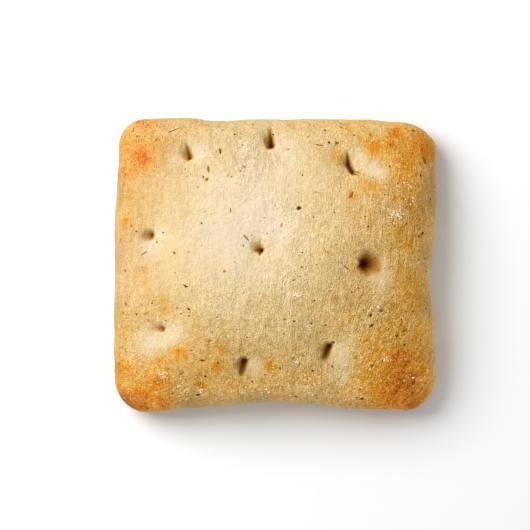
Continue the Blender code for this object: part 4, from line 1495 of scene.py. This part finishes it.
@dataclass
class Herbs:
    """Dried leaves and needles in the crust, where the solid has them."""

    placer: Placer
    seed: int = 11
    scattered_on_top: int = 14
    scattered_on_sides: int = 10
    herb_clearance: float = 2.6 * MM
    hole_clearance: float = 3.4 * MM
    leaf_lengths: Range = (1.2 * MM, 2.3 * MM)
    leaf_slimness: Range = (0.3, 0.48)
    scattered_out_to: float = 0.48
    scattered_heights: Range = (0.7, 1.8)
    leaf_height: float = 0.26 * MM
    height_change: Range = (0.7, 1.1)
    tone_change: float = 0.08
    leaf_cells: tuple[int, int] = (8, 4)
    needle_sides: int = 6
    needle_cuts: int = 5
    needle_bend: float = 0.35
    leaf_wall: float = 0.1 * MM
    leaf_kinds: int = 3
    scattered_tone: float = 0.85

    def _leaf(self, kind: int) -> bpy.types.Object:
        """A broken, curled leaf 1 long and 1 wide: a grid with a ragged outline, bent and arched.

        Args:
            kind: Which of the leaves, from 0.

        Returns:
            The leaf, to be copied.
        """
        deselect_all()
        long, wide = self.leaf_cells
        bpy.ops.mesh.primitive_grid_add(x_subdivisions=long, y_subdivisions=wide, size=1)
        leaf = bpy.context.object
        leaf.name = "leaf"
        points = read_points(leaf.data)
        x, y, _ = points.T
        # An outline from round to blunt by its kind, wider at one end, with torn edges and a bend.
        outline = np.sqrt(np.maximum(0.05, 1 - np.abs(2 * x) ** (2 + kind))) * (1 - 0.3 * (kind - 0.6) * x)
        torn = 0.14 * np.sin(19 * x + 5 * kind) * np.sign(y) + 0.09 * np.sin(31 * x + 7 * y + kind)
        bent = 0.16 * (kind - 1) * np.sin(5 * x + kind)
        # Uneven ends, and an arch over its length and its width with a curl at one edge.
        x = x + 0.06 * np.sin(13 * y + 4 * kind)
        arch = 1 - (2 * y) ** 2 - 0.5 * (2 * x) ** 2 + 0.4 * np.sin(9 * x + kind) * (0.5 + y)
        write_points(leaf.data, np.column_stack([x, y * outline + (torn + bent) * outline, arch]))
        return leaf

    def _needle(self) -> bpy.types.Object:
        """A rosemary needle 1 long and 1 wide: a six-sided rod with tapered ends and a bend.

        Returns:
            The needle, to be copied.
        """
        deselect_all()
        bpy.ops.mesh.primitive_cylinder_add(
            vertices=self.needle_sides, radius=0.5, depth=1, rotation=(0, math.pi / 2, 0)
        )
        bpy.ops.object.transform_apply(location=True, rotation=True, scale=True)
        needle = bpy.context.object
        needle.name = "needle"
        bpy.ops.object.mode_set(mode="EDIT")
        bpy.ops.mesh.select_mode(type="EDGE")
        bpy.ops.mesh.select_all(action="DESELECT")
        work = bmesh.from_edit_mesh(needle.data)
        for edge in work.edges:
            edge.select_set(abs(edge.verts[0].co.x - edge.verts[1].co.x) > 0.5)
        bmesh.update_edit_mesh(needle.data)
        bpy.ops.mesh.subdivide(number_cuts=self.needle_cuts)
        bpy.ops.object.mode_set(mode="OBJECT")
        points = read_points(needle.data)
        x, y, z = points.T
        taper = np.sqrt(np.maximum(0.12, 1 - (2 * x) ** 4))
        bent = self.needle_bend * x * x
        write_points(needle.data, np.column_stack([x, y * taper + bent, z * taper]))
        return needle

    def _clear(self, place: Vector, taken: list[Vector]) -> bool:
        """Whether a herb at `place` keeps its distance from the other herbs and from the holes.

        Args:
            place: Where the herb would lie.
            taken: Where the others lie.

        Returns:
            Whether it is clear.
        """
        if any((place - other).length < self.herb_clearance for other in taken):
            return False
        return all(math.hypot(place.x - d.x, place.y - d.y) > self.hole_clearance for d in DIMPLES)

    def places(self) -> list[tuple[Vector, Vector, Herb]]:
        """Where every herb lies, by the same rule and draws as in the solid.

        Returns:
            Each herb with its point on the crust and the way the crust faces there.
        """
        draw = random.Random(self.seed)
        form = self.placer.form
        placed = [(*self.placer.from_above(herb.x, herb.y), herb) for herb in CHOSEN_HERBS]
        on_top, out = len(CHOSEN_HERBS) + self.scattered_on_top, self.scattered_out_to
        while len(placed) < on_top + self.scattered_on_sides:
            if len(placed) < on_top:
                x = draw.uniform(-out, out) * form.width
                found = self.placer.from_above(x, draw.uniform(-out, out) * form.depth)
            else:
                round_deg = math.degrees(draw.uniform(0, 2 * math.pi))
                height = draw.uniform(*self.scattered_heights) * form.belly_height
                found = self.placer.from_beside(round_deg, height)
            length = draw.uniform(*self.leaf_lengths)
            width = length * draw.uniform(*self.leaf_slimness)
            heading = draw.uniform(0, 180)
            if found is None or not self._clear(found[0], [other for other, _, _ in placed]):
                continue
            herb = Herb(found[0].x, found[0].y, length, width, heading, self.scattered_tone)
            placed.append((*found, herb))
        return placed

    def build(self) -> bpy.types.Object:
        """Models every herb.

        Returns:
            One piece with all of them.
        """
        draw = random.Random(self.seed + 1)
        leaves, needle = [self._leaf(kind) for kind in range(self.leaf_kinds)], self._needle()
        bits = []
        for point, facing, herb in self.places():
            place = self.placer.stand(point, facing, herb.heading_deg)
            if herb.width <= NEEDLE_WIDTH:
                sizes, pattern = (herb.length, herb.width, herb.width), needle
            else:
                height = self.leaf_height * draw.uniform(*self.height_change)
                sizes = (herb.length, herb.width, height)
                pattern = draw.choice(leaves)
            tone = herb.tone + draw.uniform(-self.tone_change, self.tone_change)
            tone = min(1.0, max(0.0, tone))
            bits.append(copy_of(pattern, place @ Matrix.Diagonal((*sizes, 1)), tone))
        for pattern in (*leaves, needle):
            bpy.data.objects.remove(pattern, do_unlink=True)
        piece = join_pieces("dried_herbs", bits)
        wall = piece.modifiers.new("wall", "SOLIDIFY")
        wall.thickness = self.leaf_wall
        bpy.ops.object.modifier_apply(modifier=wall.name)
        bpy.ops.object.shade_smooth()
        piece.data.materials.append(HERB_FINISH.material())
        return piece


@dataclass
class Bits:
    """A scatter of tiny bits of one kind over the crust, joined as one piece.

    `gathered` are the spots where a `gathered_share` of them lie, and `on_sides` is the share on the sides.
    """

    name: str
    placer: Placer
    finish: BitFinish
    count: int
    sizes: Range
    slimness: Range
    seed: int
    chosen: tuple[Speck, ...] = ()
    gathered: tuple[Spot, ...] = ()
    gathered_share: float = 0.0
    gather_spread: float = 0.55
    gather_power: float = 1.5
    on_sides: float = 0.15
    side_heights: Range = (0.2, 2.0)
    chipping: Range = (0.75, 1.15)
    size_change: Range = (0.7, 1.0)
    tones: Range = (0.0, 1.0)
    lift: float = 0.5

    def _bit(self) -> bpy.types.Object:
        """A chipped lump 1 across.

        Returns:
            The lump, to be copied.
        """
        deselect_all()
        bpy.ops.mesh.primitive_ico_sphere_add(subdivisions=1, radius=0.5)
        bit = bpy.context.object
        bit.name = self.name
        draw = random.Random(self.seed)
        points = read_points(bit.data)
        points *= np.array([[draw.uniform(*self.chipping)] for _ in points])
        write_points(bit.data, points)
        return bit

    def _place(self, draw: random.Random) -> tuple[Vector, Vector] | None:
        """One drawn place: near a spot where the bits gather, on a side, or anywhere on the top.

        Args:
            draw: The row of random draws.

        Returns:
            The point and the way it faces, or nothing where the loaf is missed.
        """
        form, pick = self.placer.form, draw.random()
        if pick < self.gathered_share:
            weights = [spot.strength * spot.reach**self.gather_power for spot in self.gathered]
            spot = draw.choices(self.gathered, weights)[0]
            apart = spot.reach * self.gather_spread
            x = draw.gauss(spot.x, apart)
            return self.placer.from_above(x, draw.gauss(spot.y, apart))
        if pick < self.gathered_share + self.on_sides:
            round_deg = draw.uniform(0, 360)
            return self.placer.from_beside(round_deg, draw.uniform(*self.side_heights) * form.belly_height)
        x = draw.uniform(-0.5, 0.5) * form.width
        return self.placer.from_above(x, draw.uniform(-0.5, 0.5) * form.depth)

    def build(self) -> bpy.types.Object:
        """Models the scatter.

        Returns:
            One piece with all the bits.
        """
        draw = random.Random(self.seed + 1)
        bit = self._bit()
        bits = []
        for speck in self.chosen:
            place = self.placer.stand(*self.placer.from_above(speck.x, speck.y), speck.heading_deg)
            width = speck.length * draw.uniform(*self.slimness)
            sizes = Matrix.Diagonal((speck.length, width, self.lift * width, 1))
            bits.append(copy_of(bit, place @ sizes, speck.tone))
        while len(bits) < len(self.chosen) + self.count:
            found = self._place(draw)
            if found is None:
                continue
            size = draw.uniform(*self.sizes) * draw.uniform(*self.size_change)
            width = size * draw.uniform(*self.slimness)
            place = self.placer.stand(*found, draw.uniform(0, 360))
            sizes = Matrix.Diagonal((size, width, self.lift * width, 1))
            bits.append(copy_of(bit, place @ sizes, draw.uniform(*self.tones)))
        bpy.data.objects.remove(bit, do_unlink=True)
        piece = join_pieces(self.name, bits)
        piece.data.materials.append(self.finish.material())
        return piece


@dataclass(frozen=True)
class Studio:
    """A pale floor, a large soft light from the upper left, and a camera that looks straight down."""

    camera_height: float = 1.0
    sensor_width: float = 36.0
    floor_size: float = 6.0
    floor_greys: Range = (0.805, 0.82)
    floor_cloud_scale: float = 4.0
    floor_roughness: float = 0.9
    light_distance: float = 0.9
    light_size: float = 0.7
    light_azimuth_deg: float = 144.0
    light_elevation_deg: float = 43.5
    light_power: float = 10.2
    sky_strength: float = 0.57

    def build(self, form: LoafForm) -> None:
        """Sets up the floor, the lights and the camera.

        Args:
            form: The loaf's form, for its height.
        """
        self._floor()
        self._lights(form)
        self._camera(form)
        scene = bpy.context.scene
        scene.view_settings.view_transform = "Standard"
        scene.view_settings.look = "None"

    def _floor(self) -> None:
        """A wide plain floor at the height of the loaf's base."""
        deselect_all()
        bpy.ops.mesh.primitive_plane_add(size=self.floor_size, location=(0, 0, 0))
        floor = bpy.context.object
        floor.name = "floor"
        material, sketch, shader = new_material("pale_floor")
        where = sketch.add("ShaderNodeTexCoord").outputs["Object"]
        darker, lighter = self.floor_greys
        greys = ((0.0, (darker,) * 3), (1.0, (lighter,) * 3))
        shade = sketch.ramp(sketch.noise(where, self.floor_cloud_scale), greys)
        sketch.feed(shader.inputs["Base Color"], shade)
        shader.inputs["Roughness"].default_value = self.floor_roughness
        shader.inputs["Specular IOR Level"].default_value = 0.0
        floor.data.materials.append(material)

    def _lights(self, form: LoafForm) -> None:
        """One large softbox, and an even white sky.

        Args:
            form: The loaf's form, for its height.
        """
        azimuth, elevation = math.radians(self.light_azimuth_deg), math.radians(self.light_elevation_deg)
        out, up = math.cos(elevation), math.sin(elevation)
        way = Vector((math.cos(azimuth) * out, math.sin(azimuth) * out, up))
        key = bpy.data.lights.new("softbox", "AREA")
        key.shape = "DISK"
        key.size = self.light_size
        key.energy = self.light_power
        lamp = bpy.data.objects.new("softbox", key)
        lamp.location = way * self.light_distance + Vector((0, 0, form.belly_height))
        lamp.rotation_euler = (-way).to_track_quat("-Z", "Y").to_euler()
        bpy.context.scene.collection.objects.link(lamp)
        world = bpy.data.worlds.new("white_sky")
        world.use_nodes = True
        sky = world.node_tree.nodes["Background"]
        sky.inputs["Color"].default_value = (1, 1, 1, 1)
        sky.inputs["Strength"].default_value = self.sky_strength
        bpy.context.scene.world = world

    def _camera(self, form: LoafForm) -> None:
        """A long lens straight above the middle of the photograph's frame.

        Args:
            form: The loaf's form, for its height.
        """
        data = bpy.data.cameras.new("camera")
        data.sensor_width = self.sensor_width
        data.lens = self.sensor_width * self.camera_height / (PHOTO_SIDE * METRES_PER_PIXEL)
        camera = bpy.data.objects.new("camera", data)
        x = (PHOTO_SIDE / 2 - LOAF_MIDDLE_IN_PHOTO[0]) * METRES_PER_PIXEL
        y = (LOAF_MIDDLE_IN_PHOTO[1] - PHOTO_SIDE / 2) * METRES_PER_PIXEL
        camera.location = (x, y, form.belly_height + self.camera_height)
        bpy.context.scene.collection.objects.link(camera)
        bpy.context.scene.camera = camera


def attach(piece: bpy.types.Object) -> None:
    """Lets a piece ride on the loaf's body, in place of the solid.

    Args:
        piece: The finished piece.
    """
    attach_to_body(piece, BODY)
    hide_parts(NODE)
    LOG.info("%s: %d faces", piece.name, len(piece.data.polygons))


def main() -> None:
    """Builds every piece, then the studio, and logs each piece's face count."""
    logging.basicConfig(level=logging.INFO, format="%(name)s: %(message)s")
    form = LoafForm()
    crust = Crust(form).build()
    attach(crust)
    placer = Placer(BVHTree.FromObject(crust, bpy.context.evaluated_depsgraph_get()), form)
    attach(Herbs(placer).build())
    for scatter in (
        Bits("dark_specks", placer, SPECK_FINISH, count=260, sizes=(0.3 * MM, 0.6 * MM),
             slimness=(0.5, 0.9), seed=23, chosen=CHOSEN_SPECKS, tones=(0.3, 0.9), lift=0.3),
        Bits("flour_grains", placer, FLOUR_FINISH, count=1150, sizes=(0.18 * MM, 0.45 * MM),
             slimness=(0.45, 0.9), seed=37, chosen=CHOSEN_GRAINS, gathered=FLOURED,
             gathered_share=0.5, tones=(0.0, 0.74)),
        Bits("flour_flakes", placer, FLOUR_FINISH, count=300, sizes=(0.45 * MM, 1.0 * MM),
             slimness=(0.35, 0.75), seed=51, gathered=FLAKED, gathered_share=1.0,
             tones=(0.75, 1.0), lift=0.4),
    ):
        attach(scatter.build())
    Studio().build(form)


if __name__ == "__main__":
    main()
